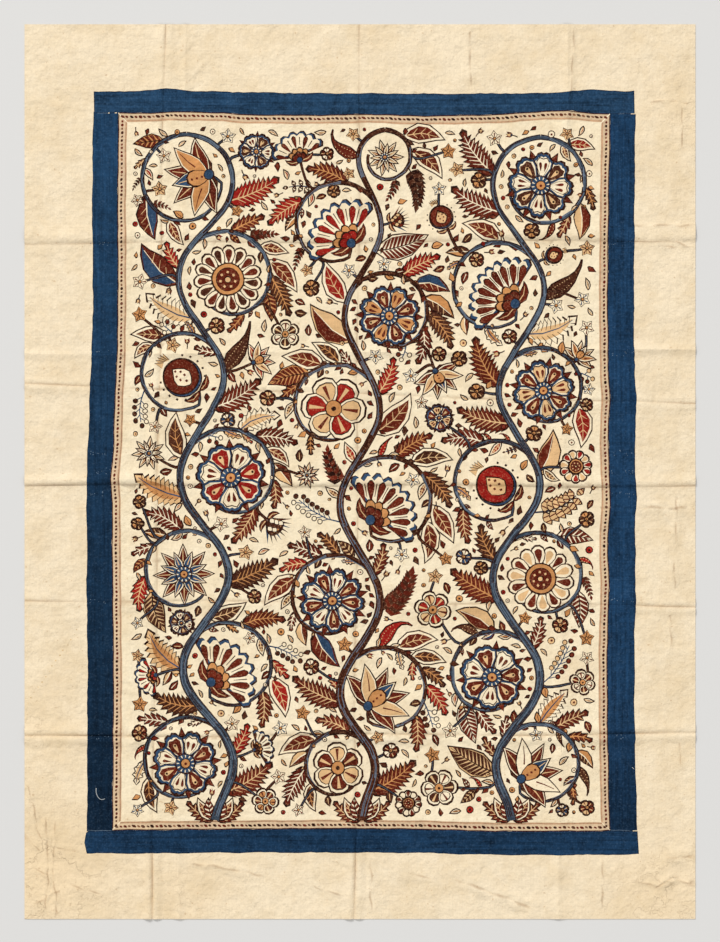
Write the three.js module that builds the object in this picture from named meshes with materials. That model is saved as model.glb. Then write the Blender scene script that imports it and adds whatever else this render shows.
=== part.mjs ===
// A painted and printed cotton wall cloth, laid out flat with its face up.
// Millimetres, +Z up. +Y runs to the top of the design, +X to its right, and the origin is on the
// surface under the middle of the cloth.
import * as THREE from 'three';

// Driving dimensions of the cloth.
const CLOTH_WIDTH = 914;
const CLOTH_LENGTH = 1219;
const CLOTH_THICKNESS = 1.5;

const COTTON = { color: 0xf1dcb9, roughness: 0.95, metalness: 0 };

// Places across a fold where the cloth is bent, as shares of the fold's reach to either side.
const BENDS = [-1, -0.5, 0, 0.5, 1];

// How high the cloth stands at each of those places, as a share of the fold's rise. A ridge is
// creased upwards. A trough is creased down to the surface and springs up beside its line. A step
// stands up on the upper or right side of its line only.
const SECTIONS = {
  ridge: [0, 0.4, 1, 0.4, 0],
  trough: [0, 1, 0.1, 0.8, 0],
  step: [0, 0.1, 0.2, 1, 0],
};

// Longest stretch between bends where the cloth lies flat.
const FLAT_STRETCH = 95;

// Folds that run up the cloth. bottom and top are where the line meets those edges, from the
// middle of the cloth. reach is how far the fold is felt to either side, rise is its full height,
// and lowRise and highRise are the shares of it left at the bottom and top edges.
const UPRIGHT_FOLDS = [
  { bottom: -284, top: -266, reach: 13, rise: 2.6, section: 'trough', lowRise: 1, highRise: 0.6 },
  { bottom: -247, top: -239, reach: 11, rise: 2.0, section: 'ridge', lowRise: 0.7, highRise: 0.8 },
  { bottom: -8, top: 0, reach: 15, rise: 2.6, section: 'trough', lowRise: 1, highRise: 0.2 },
  { bottom: 271, top: 282, reach: 14, rise: 3.2, section: 'ridge', lowRise: 0.6, highRise: 1 },
];

// Folds that run across the cloth. left and right are where the line meets those edges, from the
// middle of the cloth, and leftRise and rightRise are the shares of the rise left there.
const LEVEL_FOLDS = [
  { left: -361, right: -357, reach: 15, rise: 3.4, section: 'trough', leftRise: 1, rightRise: 0.9 },
  { left: -175, right: -183, reach: 13, rise: 1.6, section: 'trough', leftRise: 0.5, rightRise: 1 },
  { left: -19, right: -20, reach: 16, rise: 3.6, section: 'step', leftRise: 1, rightRise: 0.9 },
  { left: 119, right: 92, reach: 12, rise: 1.8, section: 'trough', leftRise: 1, rightRise: 0.5 },
  { left: 160, right: 166, reach: 13, rise: 2.8, section: 'ridge', leftRise: 0.9, rightRise: 0.9 },
  { left: 311, right: 315, reach: 26, rise: 3.0, section: 'step', leftRise: 0.8, rightRise: 1 },
];

// A fold's rise swells and sinks along its line by this share, once every SWELL_LENGTH.
const SWELL = 0.28;
const SWELL_LENGTH = 310;

// How far a fold's line strays from straight, once every STRAY_LENGTH.
const STRAY = 1.4;
const STRAY_LENGTH = 430;

const FULL_TURN = 2 * Math.PI;

// The bends of one direction, in order: the plain edges, the BENDS of each fold, and those that
// cut the flat stretches between. start and end are where a bend's line meets the two edges.
function bendsAcross(span, folds) {
  const bends = [];
  let last = { start: -span / 2, end: -span / 2, share: 0 };
  const addFlatStretch = (next) => {
    const gap = (next.start + next.end - last.start - last.end) / 2;
    const stretches = Math.ceil(gap / FLAT_STRETCH);
    for (let k = 1; k < stretches; k += 1) {
      bends.push({
        start: THREE.MathUtils.lerp(last.start, next.start, k / stretches),
        end: THREE.MathUtils.lerp(last.end, next.end, k / stretches),
        share: 0,
      });
    }
  };
  bends.push(last);
  folds.forEach((fold) => {
    BENDS.forEach((place, n) => {
      const bend = {
        fold,
        start: fold.start + place * fold.reach,
        end: fold.end + place * fold.reach,
        share: SECTIONS[fold.section][n],
      };
      if (n === 0) addFlatStretch(bend);
      bends.push(bend);
      last = bend;
    });
  });
  const edge = { start: span / 2, end: span / 2, share: 0 };
  addFlatStretch(edge);
  bends.push(edge);
  return bends;
}

// Place of a bend's line where it is the given share of its way along the cloth.
function linePlace(bend, along, length) {
  const straight = THREE.MathUtils.lerp(bend.start, bend.end, along);
  if (!bend.fold) return straight;
  const phase = bend.fold.start / STRAY_LENGTH;
  return straight + STRAY * Math.sin(FULL_TURN * ((along * length) / STRAY_LENGTH + phase));
}

// Height of a bend's line above the surface, where it is the given share of its way along.
function lineHeight(bend, along, length) {
  if (!bend.fold) return 0;
  const { rise, startRise, endRise, start } = bend.fold;
  const phase = start / SWELL_LENGTH;
  const swell = 1 + SWELL * Math.sin(FULL_TURN * ((along * length) / SWELL_LENGTH + phase));
  return bend.share * rise * THREE.MathUtils.lerp(startRise, endRise, along) * swell;
}

// One closed sheet of even thickness over a net of bends that follow both sets of folds.
function makeSheet(columns, rows) {
  const places = [];
  [0, CLOTH_THICKNESS].forEach((above) => {
    rows.forEach((row) => {
      const up = (row.start + row.end) / 2 / CLOTH_LENGTH + 0.5;
      columns.forEach((column) => {
        const right = (column.start + column.end) / 2 / CLOTH_WIDTH + 0.5;
        const lift = lineHeight(column, up, CLOTH_LENGTH) + lineHeight(row, right, CLOTH_WIDTH);
        places.push(
          linePlace(column, up, CLOTH_LENGTH),
          linePlace(row, right, CLOTH_WIDTH),
          lift + above,
        );
      });
    });
  });

  const triangles = [];
  const addQuad = (a, b, c, d) => triangles.push(a, b, c, a, c, d);
  const across = columns.length;
  const layer = across * rows.length;
  const under = (column, row) => row * across + column;
  const over = (column, row) => layer + under(column, row);
  const lastColumn = across - 1;
  const lastRow = rows.length - 1;
  for (let row = 0; row < lastRow; row += 1) {
    for (let column = 0; column < lastColumn; column += 1) {
      const [c, r] = [column + 1, row + 1];
      addQuad(over(column, row), over(c, row), over(c, r), over(column, r));
      addQuad(under(column, row), under(column, r), under(c, r), under(c, row));
    }
  }
  for (let column = 0; column < lastColumn; column += 1) {
    const c = column + 1;
    addQuad(under(column, 0), under(c, 0), over(c, 0), over(column, 0));
    addQuad(under(c, lastRow), under(column, lastRow), over(column, lastRow), over(c, lastRow));
  }
  for (let row = 0; row < lastRow; row += 1) {
    const r = row + 1;
    addQuad(under(0, r), under(0, row), over(0, row), over(0, r));
    addQuad(under(lastColumn, row), under(lastColumn, r), over(lastColumn, r), over(lastColumn, row));
  }

  const sheet = new THREE.BufferGeometry();
  sheet.setAttribute('position', new THREE.Float32BufferAttribute(places, 3));
  sheet.setIndex(triangles);
  sheet.computeVertexNormals();
  return sheet;
}

// Folds with their ends named alike, whichever way they run.
const uprightFolds = UPRIGHT_FOLDS.map((fold) => ({
  ...fold, start: fold.bottom, end: fold.top, startRise: fold.lowRise, endRise: fold.highRise,
}));
const levelFolds = LEVEL_FOLDS.map((fold) => ({
  ...fold, start: fold.left, end: fold.right, startRise: fold.leftRise, endRise: fold.rightRise,
}));

const cloth = new THREE.Mesh(
  makeSheet(bendsAcross(CLOTH_WIDTH, uprightFolds), bendsAcross(CLOTH_LENGTH, levelFolds)),
  new THREE.MeshStandardMaterial(COTTON),
);
cloth.name = 'painted_cloth';

const panel = new THREE.Group();
panel.add(cloth);

export default panel;
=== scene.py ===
"""A painted and block-printed cotton wall cloth, laid out flat and seen from straight above."""

import math
import random

import bpy
import numpy as np
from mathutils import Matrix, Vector
from mathutils.geometry import delaunay_2d_cdt


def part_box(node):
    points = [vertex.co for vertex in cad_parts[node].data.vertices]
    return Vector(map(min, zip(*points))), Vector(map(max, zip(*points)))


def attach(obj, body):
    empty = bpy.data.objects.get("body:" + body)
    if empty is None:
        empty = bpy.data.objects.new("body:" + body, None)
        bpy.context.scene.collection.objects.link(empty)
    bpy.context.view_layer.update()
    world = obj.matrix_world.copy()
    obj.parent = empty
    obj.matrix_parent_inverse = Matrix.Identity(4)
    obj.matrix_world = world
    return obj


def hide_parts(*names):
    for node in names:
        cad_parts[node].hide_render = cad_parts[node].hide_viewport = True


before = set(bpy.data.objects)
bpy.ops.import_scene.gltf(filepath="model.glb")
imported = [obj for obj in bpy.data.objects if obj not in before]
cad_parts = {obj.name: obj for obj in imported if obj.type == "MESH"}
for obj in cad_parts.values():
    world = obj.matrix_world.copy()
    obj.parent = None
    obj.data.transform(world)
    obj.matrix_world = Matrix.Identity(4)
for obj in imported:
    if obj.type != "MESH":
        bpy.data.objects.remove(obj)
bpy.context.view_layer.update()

# Lengths are in millimetres until a mesh is made. A place on the cloth is a complex number: the
# millimetres right of the middle, and times 1j the millimetres up from it. Angles are in radians.
# A drawing is a list of dyes with the closed outlines that they fill, the lowest first.
MM = 0.001
TAU = math.tau
joined = np.concatenate

low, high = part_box("painted_cloth")
CLOTH_WIDTH = round((high.x - low.x) / MM, 1)
CLOTH_LENGTH = round((high.y - low.y) / MM, 1)
CLOTH_THICKNESS = 0.8

# The dyes as they look in daylight, in 0 to 255 sRGB, and how unevenly each has soaked in.
DYES = {
    "cloth": ((246, 227, 195), 0.05),
    "ground": ((252, 235, 202), 0.05),
    "back": ((240, 224, 196), 0.06),
    "line": ((42, 18, 11), 0.34),
    "madder": ((98, 34, 20), 0.36),
    "red": ((150, 30, 24), 0.26),
    "brown": ((74, 38, 24), 0.32),
    "ochre": ((204, 142, 86), 0.20),
    "tan": ((226, 184, 132), 0.13),
    "blue": ((46, 68, 94), 0.34),
    "stem": ((58, 68, 80), 0.40),
    "slate": ((104, 116, 130), 0.24),
    "indigo_top": ((38, 68, 97), 0.40),
    "indigo_foot": ((26, 54, 82), 0.40),
    "indigo_left": ((29, 58, 86), 0.40),
    "indigo_right": ((28, 58, 88), 0.40),
    "indigo_edge": ((20, 40, 64), 0.40),
    "faded": ((134, 92, 66), 0.30),
    "worn": ((112, 130, 146), 0.30),
    "rope": ((190, 148, 114), 0.30),
    "blush": ((217, 187, 153), 0.105),
    "stain": ((222, 192, 146), 0.15),
    "thread": ((176, 184, 188), 0.10),
    "seeped_indigo": ((72, 96, 122), 0.45),
    "seeped_line": ((176, 160, 142), 0.36),
    "seeped_madder": ((216, 186, 156), 0.36),
}
DYE_ORDER = list(DYES)
DARK_DYES = ("madder", "red", "brown", "blue", "stem", "line")

# Dyes less uneven than this are next to nothing, and look like bare cotton.
BARE = 0.11

# The dyes painted in long strokes: how often those change in a metre to the right, up and off the
# cloth, and for some the heights in metres where they begin and end to deepen, and to what share.
STROKES = {
    "indigo_top": ((8, 240, 1), None),
    "indigo_foot": ((8, 240, 1), None),
    "indigo_left": ((240, 8, 1), (0.45, -0.45, 0.32)),
    "indigo_right": ((240, 8, 1), (-0.30, -0.46, 0.55)),
}

# How far each dye is printed or filled in off the pen lines.
REGISTER = {
    "madder": 0.25 - 0.2j, "red": 0.3 + 0.2j, "blue": -0.35 + 0.25j, "ochre": 0.2 + 0.3j,
    "tan": -0.2 - 0.3j,
}

# How wide the pen's lines are.
PEN = 2.1
FINE_PEN = 1.3

# The lowest layer of most shapes, which shows round those above it as a pen line. A layer is a dye
# and how far inside the outline it begins.
LINE = ("line", 0)


# Outlines

# Half the width of a petal or leaf as a share of its widest, at shares of its length.
PROFILES = {
    "point": [(0, 0.25), (0.25, 0.85), (0.5, 1), (0.8, 0.5), (1, 0)],
    "leaf": [(0, 0.12), (0.14, 0.62), (0.36, 1), (0.6, 0.86), (0.82, 0.42), (1, 0)],
    "round": [(0, 0.3), (0.25, 0.75), (0.55, 1), (0.84, 0.84), (1, 0.34)],
    "heart": [(0, 0.22), (0.4, 0.76), (0.76, 1), (0.98, 0.6), (0.92, 0)],
    "lobed": [(0, 0.3), (0.4, 0.86), (0.7, 1), (0.78, 0.74), (0.93, 0.58), (1, 0.22), (0.94, 0)],
    "drop": [(0, 0.1), (0.55, 0.8), (0.85, 0.9), (1, 0.3)],
    "lance": [(0, 0.3), (0.4, 1), (1, 0)],
    "diamond": [(0, 0), (0.45, 1), (1, 0)],
}


def stroke(path, start, end):
    """A line whose width runs from start to end."""
    path = np.asarray(path, complex)
    heading = np.gradient(path)
    heading /= np.maximum(abs(heading), 1e-9)
    side = 1j * heading * np.linspace(start, end, len(path)) / 2
    return joined([path - side, (path + side)[::-1]])


class Rib:
    """The middle line of a leaf. It starts along +X and turns through bend radians, later in its
    length for a larger curl."""

    def __init__(self, length, bend=0.0, curl=1.0):
        self.bend, self.curl = bend, curl
        self.share = np.linspace(0, 1, 25)
        heading = np.exp(1j * bend * self.share**curl)
        self.line = joined([[0], np.cumsum((heading[1:] + heading[:-1]) / 2)]) * length / 24

    def at(self, along, aside=0):
        """Places at shares along and millimetres aside of the rib."""
        along = np.asarray(along, float)
        x, y = (np.interp(along, self.share, part) for part in (self.line.real, self.line.imag))
        return x + 1j * y + 1j * np.exp(1j * self.bend * along.clip(0) ** self.curl) * aside

    def outline(self, along, out):
        """The closed outline that stands out by so much on either side."""
        right, left = self.at(along, -np.asarray(out)), self.at(along, np.asarray(out))
        return joined([right, left[::-1] if out[-1] > 0 else left[-2::-1]])

    def vein(self, dye, along, start, end, aside=0):
        """A line at shares along and millimetres aside, with its width at either end."""
        return dye, stroke(self.at(along, aside), start, end)


def petal(kind, length, half, *layers, bend=0.0, start=0.0):
    """A petal or leaf along +X, in layers."""
    along, share = np.array(PROFILES[kind]).T
    rib = Rib(length, bend)
    drawing = []
    for dye, step in layers:
        if half - step > 0.35 and length > 4 * step:
            inner = 1.3 * step / length
            places = inner + (1 - 2.4 * inner) * along
            drawing.append((dye, start + rib.outline(places, share * (half - step))))
    return drawing


def disc(radius, sides, at=0.0):
    return at + radius * np.exp(1j * TAU * (np.arange(sides) / sides + 0.07))


def ring(radius, at, *layers):
    """A round spot in layers."""
    return [
        (dye, disc(radius - step, max(5, round(5 + (radius - step) / 1.3)), at))
        for dye, step in layers if radius - step > 0.3
    ]


def spared(outline, least):
    """The outline without places that stand less than so much off the line past them."""
    for first in (0, 1):
        before, after = np.roll(outline, 1), np.roll(outline, -1)
        run = after - before
        off = abs((np.conj(run) * (outline - before)).imag) / np.maximum(abs(run), 0.01)
        keep = (off > least) | (abs(run) < 1) | (np.arange(len(outline)) % 2 == first)
        outline = outline[keep]
    return outline


def smooth(points):
    """An open line with a point more between each two."""
    points = np.asarray(points, complex)
    ends = [2 * points[0] - points[1]], [2 * points[-1] - points[-2]]
    padded = joined([ends[0], points, ends[1]])
    between = (9 * (padded[1:-2] + padded[2:-1]) - padded[:-3] - padded[3:]) / 16
    return np.insert(points, np.arange(1, len(points)), between)


def steps_along(line):
    """How far along an open line each of its places is."""
    return joined([[0], np.cumsum(abs(np.diff(line)))])


def placed(at, steps, line):
    """The places so far along a line."""
    return np.interp(at, steps, line.real) + 1j * np.interp(at, steps, line.imag)


def resampled(line, every):
    """The same line with places at even steps."""
    line = np.asarray(line, complex)
    steps = steps_along(line)
    return placed(np.linspace(0, steps[-1], max(2, round(steps[-1] / every) + 1)), steps, line)


def moved(drawing, at=0.0, heading=0.0):
    turn = np.exp(1j * heading)
    return [(dye, at + turn * outline) for dye, outline in drawing]


def fanned(leans, make):
    """What make(k) draws, leaning by each angle in turn."""
    return [shape for k, lean in enumerate(leans) for shape in moved(make(k), heading=lean)]


def around(count, make, start=0.0):
    """What make(k) draws, turned to each of count directions."""
    return fanned([start + TAU * k / count for k in range(count)], make)


# Leaves and small motifs. Each runs from its stalk along +X, and has two dyes.

def fullness(along, first=0.2, run=0.66):
    """How wide a leaf is at a share of its length, as a share of its widest."""
    return math.sin(math.pi * (first + run * along))


def edged(rib, half, along, out, fill, first, run, step):
    """A leaf with a pen line round its fill, from how far out its edge stands along it."""
    along, out = np.array([*along, 1]), half * np.array([*out, 0])
    inner = np.maximum(out - step, 0)
    return [("line", rib.outline(along, out)), (fill, rib.outline(first + run * along, inner))]


def side_veins(rib, dye, roots, reach, widths, sides=(-1, 1), run=0.12, fuller=0.66):
    """Short veins that slant out from the rib at each root."""
    return [
        rib.vein(dye, [root, root + run], *widths, [0, side * reach * fullness(root, run=fuller)])
        for side in sides for root in roots
    ]


def striped_leaf(length, bend, fills):
    """Slanting stripes on either side of a dark rib."""
    rib, half = Rib(length, bend), 0.24 * length
    drawing = petal("leaf", length, half, LINE, (fills[0], 0.85 * PEN), bend=bend)
    along, share = np.array(PROFILES["leaf"]).T
    stripes = max(3, round(length / 8))
    for side in (-1, 1):
        for k in range(stripes):
            edges = np.array([0.0, 0.4 / stripes, 0.5 / stripes + 0.12, 0.1])
            edges = 0.1 + 0.72 * k / stripes + edges
            reach = side * half * 0.84 * np.interp(edges, along, share) * (0.05, 0.05, 1, 1)
            drawing.append((fills[1], rib.at(edges, reach)))
    return drawing + [rib.vein("line", [-0.1, 0.3, 0.62, 0.92], 1.9, 0.8)]


def toothed_leaf(length, bend, fills):
    """Teeth that lean towards the tip, and a pale rib and veins."""
    rib, half = Rib(length, bend), 0.22 * length
    teeth = max(4, round(length / 8))
    along, out = [0.0], [0.12]
    for k in range(teeth):
        full = fullness((k + 0.4) / teeth, run=0.74)
        along += [0.04 + 0.86 * (k + 0.2) / teeth, 0.04 + 0.86 * (k + 1) / teeth + 0.03]
        out += [0.72 * full, 1.12 * full]
    drawing = edged(rib, half, along, out, fills[0], 0.02, 0.93, 0.85 * PEN)
    veins = max(3, round(length / 11))
    roots = [0.16 + 0.62 * k / veins for k in range(veins)]
    drawing += side_veins(rib, fills[1], roots, 0.62 * half, (1.3, 0.7))
    return drawing + [rib.vein(fills[1], [0, 0.3, 0.6, 0.86], 2.0, 0.7)]


def margined_leaf(length, bend, fills):
    """A pale margin round a dyed middle."""
    rib, half = Rib(length, bend), 0.23 * length
    layers = LINE, ("ground", 0.85 * PEN), (fills[0], 0.85 * PEN + 0.05 * length)
    drawing = petal("leaf", length, half, *layers, bend=bend)
    roots = (0.25, 0.42, 0.58) if length > 26 else ()
    drawing += side_veins(rib, fills[1], roots, 0.48 * half, (1.2, 0.6), run=0.1)
    return drawing + [rib.vein(fills[1], [0.12, 0.45, 0.8], 1.5, 0.6)]


def lobed_leaf(length, bend, fills):
    """Round lobes along both edges, each with a short pen mark, and a blue rib."""
    rib, half = Rib(length, bend), 0.23 * length
    lobes = max(4, round(length / 9))
    along, out = [0.0], [0.1]
    fulls = [fullness((k + 0.5) / lobes, 0.16, 0.74) for k in range(lobes)]
    for k, full in enumerate(fulls):
        start = 0.03 + 0.87 * k / lobes
        along += [start + 0.06 / lobes, start + 0.6 / lobes]
        out += [0.74 * full, 1.1 * full]
    drawing = edged(rib, half, along, out, fills[0], 0.02, 0.94, 0.8 * PEN)
    heart = 0.84 * length, 0.5 * half, (fills[1], 0)
    drawing += petal("leaf", *heart, bend=bend, start=0.05 * length)
    for side in (-1, 1):
        for k, full in enumerate(fulls):
            root = 0.1 + 0.8 * k / lobes
            reach = side * 0.72 * half * full
            drawing.append(rib.vein("line", [root, root + 0.06], 0.7, 1.3, [0.3 * reach, reach]))
    return drawing + [rib.vein("blue", [-0.1, 0.3, 0.6, 0.88], 2.0, 0.9)]


def halved_leaf(length, bend, fills):
    """One half in each dye, with a pale rib between."""
    rib, half = Rib(length, bend), 0.24 * length
    drawing = petal("leaf", length, half, LINE, (fills[0], 0.85 * PEN), bend=bend)
    along, share = np.array(PROFILES["leaf"]).T
    along = 0.05 + 0.88 * along
    upper = rib.at(along, np.maximum(half * share - 0.85 * PEN, 0.1))
    drawing.append((fills[1], joined([rib.at(along), upper[::-1]])))
    roots = (0.24, 0.42, 0.6)
    drawing += side_veins(rib, "tan", roots, 0.6 * half, (1.1, 0.6), sides=(-1,), fuller=0.6)
    return drawing + [rib.vein("ground", [0.04, 0.4, 0.86], 1.7, 0.7)]


def pod(length, bend, fills):
    """A long pod with a hooked tip, dotted all along."""
    rib = Rib(length, 2 * bend, 2.6)
    along = np.array([0, 0.1, 0.26, 0.44, 0.6, 0.74, 0.88, 1])
    out = length * np.array([0.03, 0.1, 0.15, 0.135, 0.09, 0.05, 0.035, 0.02])
    drawing = [("line", rib.outline(along, out))]
    inner = np.maximum(out - 0.85 * PEN, 0.2)
    drawing.append((fills[0], rib.outline(0.02 + 0.95 * along, inner)))
    spots = max(3, round(length / 8))
    for k in range(spots):
        root = 0.12 + 0.5 * k / spots
        for side in (-1, 1):
            at = rib.at(root + 0.02 * side, side * 0.45 * np.interp(root, along, out))
            drawing.append((fills[1], disc(0.75, 4, at)))
    return drawing


def frond(length, bend, fills):
    """Pairs of small pointed leaflets on a thin stalk."""
    rib = Rib(length, bend)
    drawing = [rib.vein("line", [0, 0.35, 0.7, 0.97], 1.7, 0.9)]
    pairs = max(4, round(length / 7))
    for k in range(pairs):
        root = 0.14 + 0.78 * k / pairs
        reach = length * (0.3 - 0.15 * k / pairs)
        for side in (-1, 1):
            leaflet = petal("lance", reach, 0.3 * reach, (fills[(k + (side > 0)) % 2], 0))
            drawing += moved(leaflet, rib.at(root), bend * root + side * 0.8)
    tip = petal("lance", 0.2 * length, 0.06 * length, (fills[0], 0))
    return drawing + moved(tip, rib.at(0.88), bend)


def spray(length, bend, fills):
    """A blue stalk with pairs of round striped leaflets."""
    rib = Rib(length, bend)
    drawing = [rib.vein("line", [0, 0.3, 0.6, 0.88], 2.4, 1.4)]
    drawing.append(rib.vein("blue", [0, 0.3, 0.6, 0.86], 1.2, 0.6))
    pairs = max(3, round(length / 13))
    for k in range(pairs + 1):
        root = 0.24 + 0.66 * k / pairs
        size = length * (0.27 - 0.08 * k / pairs)
        for side in (-1, 1) if k < pairs else (0,):
            leaflet = petal("point", size, 0.34 * size, LINE, (fills[1], 0.7 * PEN))
            for place in (0.28, 0.6):
                reach = 0.28j * size * (1 - 0.3 * place)
                stripe = [place * size - reach, (place + 0.08) * size + reach]
                leaflet.append((fills[0], stroke(stripe, 1.6, 1.6)))
            drawing += moved(leaflet, rib.at(root), bend * root + side * 1.15)
    return drawing


def berries(length, bend, fills):
    """A blue stalk with ringed berries on short stalks."""
    rib = Rib(length, bend)
    drawing = [rib.vein("blue", [0, 0.3, 0.6, 0.9], 1.9, 1.2)]
    count = max(4, round(length / 6))
    size = 0.5 * length / count + 0.9
    for k in range(count):
        root = 0.28 + 0.64 * k / (count - 1)
        side = 0 if k == count - 1 else (-1, 1)[k % 2]
        at = rib.at(root + 0.07, side * (1.6 * size + 1.2))
        if side:
            drawing.append(("blue", stroke([rib.at(root - 0.05), at], 1.3, 1.1)))
        drawing += ring(size, at, LINE, (fills[k % 2], 0.6 * PEN))
    return drawing


def small_leaf(length, bend, fills):
    if length < 15:
        return petal("lance", length, 0.32 * length, LINE, (fills[0], 0.6 * PEN), bend=bend)
    drawing = petal("point", length, 0.3 * length, LINE, (fills[0], 0.7 * PEN), bend=bend)
    return drawing + [Rib(length, bend).vein(fills[1], [0.2, 0.7], 1.2, 0.6)]


def seed(length, bend, fills):
    """A ringed seed with a dark dot."""
    drawing = ring(0.3 * length, 0.5 * length, LINE, (fills[1], 0.55 * PEN))
    return drawing + [(fills[0], disc(0.1 * length, 5, 0.5 * length))]


def bud(length, bend, fills):
    """A closed bud in its cup on a short stalk."""
    rib = Rib(length, bend)
    drawing = [rib.vein("line", [0, 0.2, 0.4], 1.5, 1.5)]
    for lean, fill in ((0.36, fills[0]), (-0.36, fills[0]), (0, "tan")):
        leaf = petal("lance", 0.58 * length, 0.15 * length, LINE, (fill, 0.7))
        drawing += moved(leaf, rib.at(0.4), 0.4 * bend + lean)
    cup = petal("diamond", 0.3 * length, 0.15 * length, LINE, (fills[1], 0.7))
    return drawing + moved(cup, rib.at(0.32), bend * 0.36)


# Open flowers, with their middle at the origin. Their petals are in two dyes by turns.

def mark_on(fill):
    """The dye of a mark that shows on a fill."""
    return "tan" if fill in DARK_DYES else "madder"


def eye(radius, dots):
    """The ringed middle of an open flower."""
    drawing = ring(radius, 0, LINE, ("blue", 0.8 * PEN))
    drawing += around(dots, lambda k: [("ground", stroke([0.6 * radius, 0.84 * radius], 1.0, 1.7))])
    return drawing + ring(0.5 * radius, 0, LINE, ("ochre", FINE_PEN), ("madder", 0.36 * radius))


def rosette(radius, petals, fills):
    """Notched petals with a blue rim and a pale margin, and sepals between them."""
    step = TAU / petals
    half = 0.8 * radius * math.tan(step / 2)
    sepal = petal(
        "diamond", 0.5 * radius, 0.12 * radius, LINE, ("madder", FINE_PEN), start=0.6 * radius,
    )

    def leaf(k):
        fill = fills[k % 2]
        layers = LINE, ("blue", 0.8 * PEN), ("ground", 0.8 * PEN + 0.045 * radius)
        drawing = petal("lobed", 0.8 * radius, half, *layers, start=0.2 * radius)
        heart = [(fill, 0.4)] if fill in DARK_DYES else [LINE, (fill, 0.9)]
        drawing += petal("heart", 0.58 * radius, 0.62 * half, *heart, start=0.26 * radius)
        if fill in DARK_DYES:
            drawing += petal("drop", 0.3 * radius, 0.2 * half, ("tan", 0), start=0.38 * radius)
            return drawing + [("line", disc(0.04 * radius, 5, 0.62 * radius))]
        mark = petal("drop", 0.26 * radius, 0.15 * half, ("madder", 0), start=0.42 * radius)
        return drawing + fanned((-0.13, 0.13), lambda k: mark)

    sepals_between = around(petals, lambda k: sepal, step / 2)
    return sepals_between + around(petals, leaf) + eye(0.3 * radius, petals + 4)


def star(radius, petals, fills):
    """Pointed petals in two ranks, each in one dye."""
    drawing = []
    for rank, (reach, fill) in enumerate(zip((1.0, 0.8), fills)):
        length = reach * radius
        layers = LINE, ("ground", 0.8 * PEN), (fill, 0.8 * PEN + 1.1)
        ray = petal("point", length, 0.19 * length, *layers)
        ray.append((mark_on(fill), stroke([0.4 * length, 0.8 * length], 1.5, 0.7)))
        drawing += around(petals, lambda k: ray, rank * math.pi / petals)
    return drawing + eye(0.26 * radius, petals + 2)


def bloom(radius, petals, fills):
    """Round petals, drawn twice round where there is room, the inner line about a dyed heart."""
    half = 0.72 * radius * math.tan(math.pi / petals)
    gap = 0.75 * PEN + 0.055 * radius
    twice = [("ground", 0.75 * PEN), ("line", gap)] if radius > 16 else []

    def leaf(k):
        fill = fills[k % 2]
        layers = LINE, *twice, (fill, gap + 0.9 if twice else 0.8 * PEN)
        drawing = petal("round", 0.88 * radius, half, *layers, start=0.12 * radius)
        mark = stroke([0.3 * radius, 0.74 * radius], 0.04 * radius, 0.13 * radius)
        return drawing + [(mark_on(fill), mark)]

    middle = ring(0.27 * radius, 0, LINE, ("ochre", FINE_PEN), ("line", 0.19 * radius))
    return around(petals, leaf) + middle


def wheel(radius, petals, fills):
    """Many narrow petals round a wide seeded middle."""
    half = 0.95 * radius * math.tan(math.pi / petals)
    margin = petal("round", 0.6 * radius, half, LINE, ("ground", 0.7 * PEN), start=0.4 * radius)

    def leaf(k):
        heart = 0.4 * radius, 0.55 * half, (fills[k % 2], 0)
        return margin + petal("drop", *heart, start=0.48 * radius)

    drawing = around(petals, leaf)
    drawing += ring(0.48 * radius, 0, LINE, ("ochre", PEN), ("line", 0.14 * radius))
    drawing += ring(0.32 * radius, 0, ("madder", 0))
    drawing += around(7, lambda k: [("tan", disc(0.045 * radius, 4, 0.21 * radius))])
    return drawing + ring(0.1 * radius, 0, LINE, ("tan", FINE_PEN))


def daisy(radius, petals, fills):
    """A small flower with a wedge in each petal."""
    leaf = petal("lance", 0.96 * radius, 0.4 * radius, LINE, (fills[1], 0.85), start=0.04 * radius)
    leaf.append((fills[0], stroke([0.2 * radius, 0.7 * radius], 0.7, 2.0)))
    middle = [("line", disc(0.24 * radius, 6)), ("ochre", disc(0.14 * radius, 5))]
    return around(petals, lambda k: leaf) + middle


# Flowers and fruit seen from the side, with their stalk at the origin and their top towards +X.

def scalloped(radius, spread, bumps, step):
    """A fan with a scalloped edge."""
    spread = spread - step / (0.8 * radius)
    edge = np.linspace(-spread, spread, 3 * bumps + 1)
    depth = np.where(np.arange(3 * bumps + 1) % 3 == 0, 0.9, 1.0)
    return joined([[0.14 * radius + step], (radius - step) * depth * np.exp(1j * edge)])


def sepals(radius, fill="madder"):
    """The pair of curled leaves under a flower."""
    drawing = []
    for side in (-1, 1):
        bend = -side * 1.5
        curled = petal("leaf", 0.58 * radius, 0.11 * radius, LINE, (fill, FINE_PEN), bend=bend)
        curled.append(Rib(0.58 * radius, bend).vein("tan", [0.15, 0.5, 0.8], 1.4, 0.6))
        drawing += moved(curled, heading=side * 2.0)
    return drawing


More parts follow.
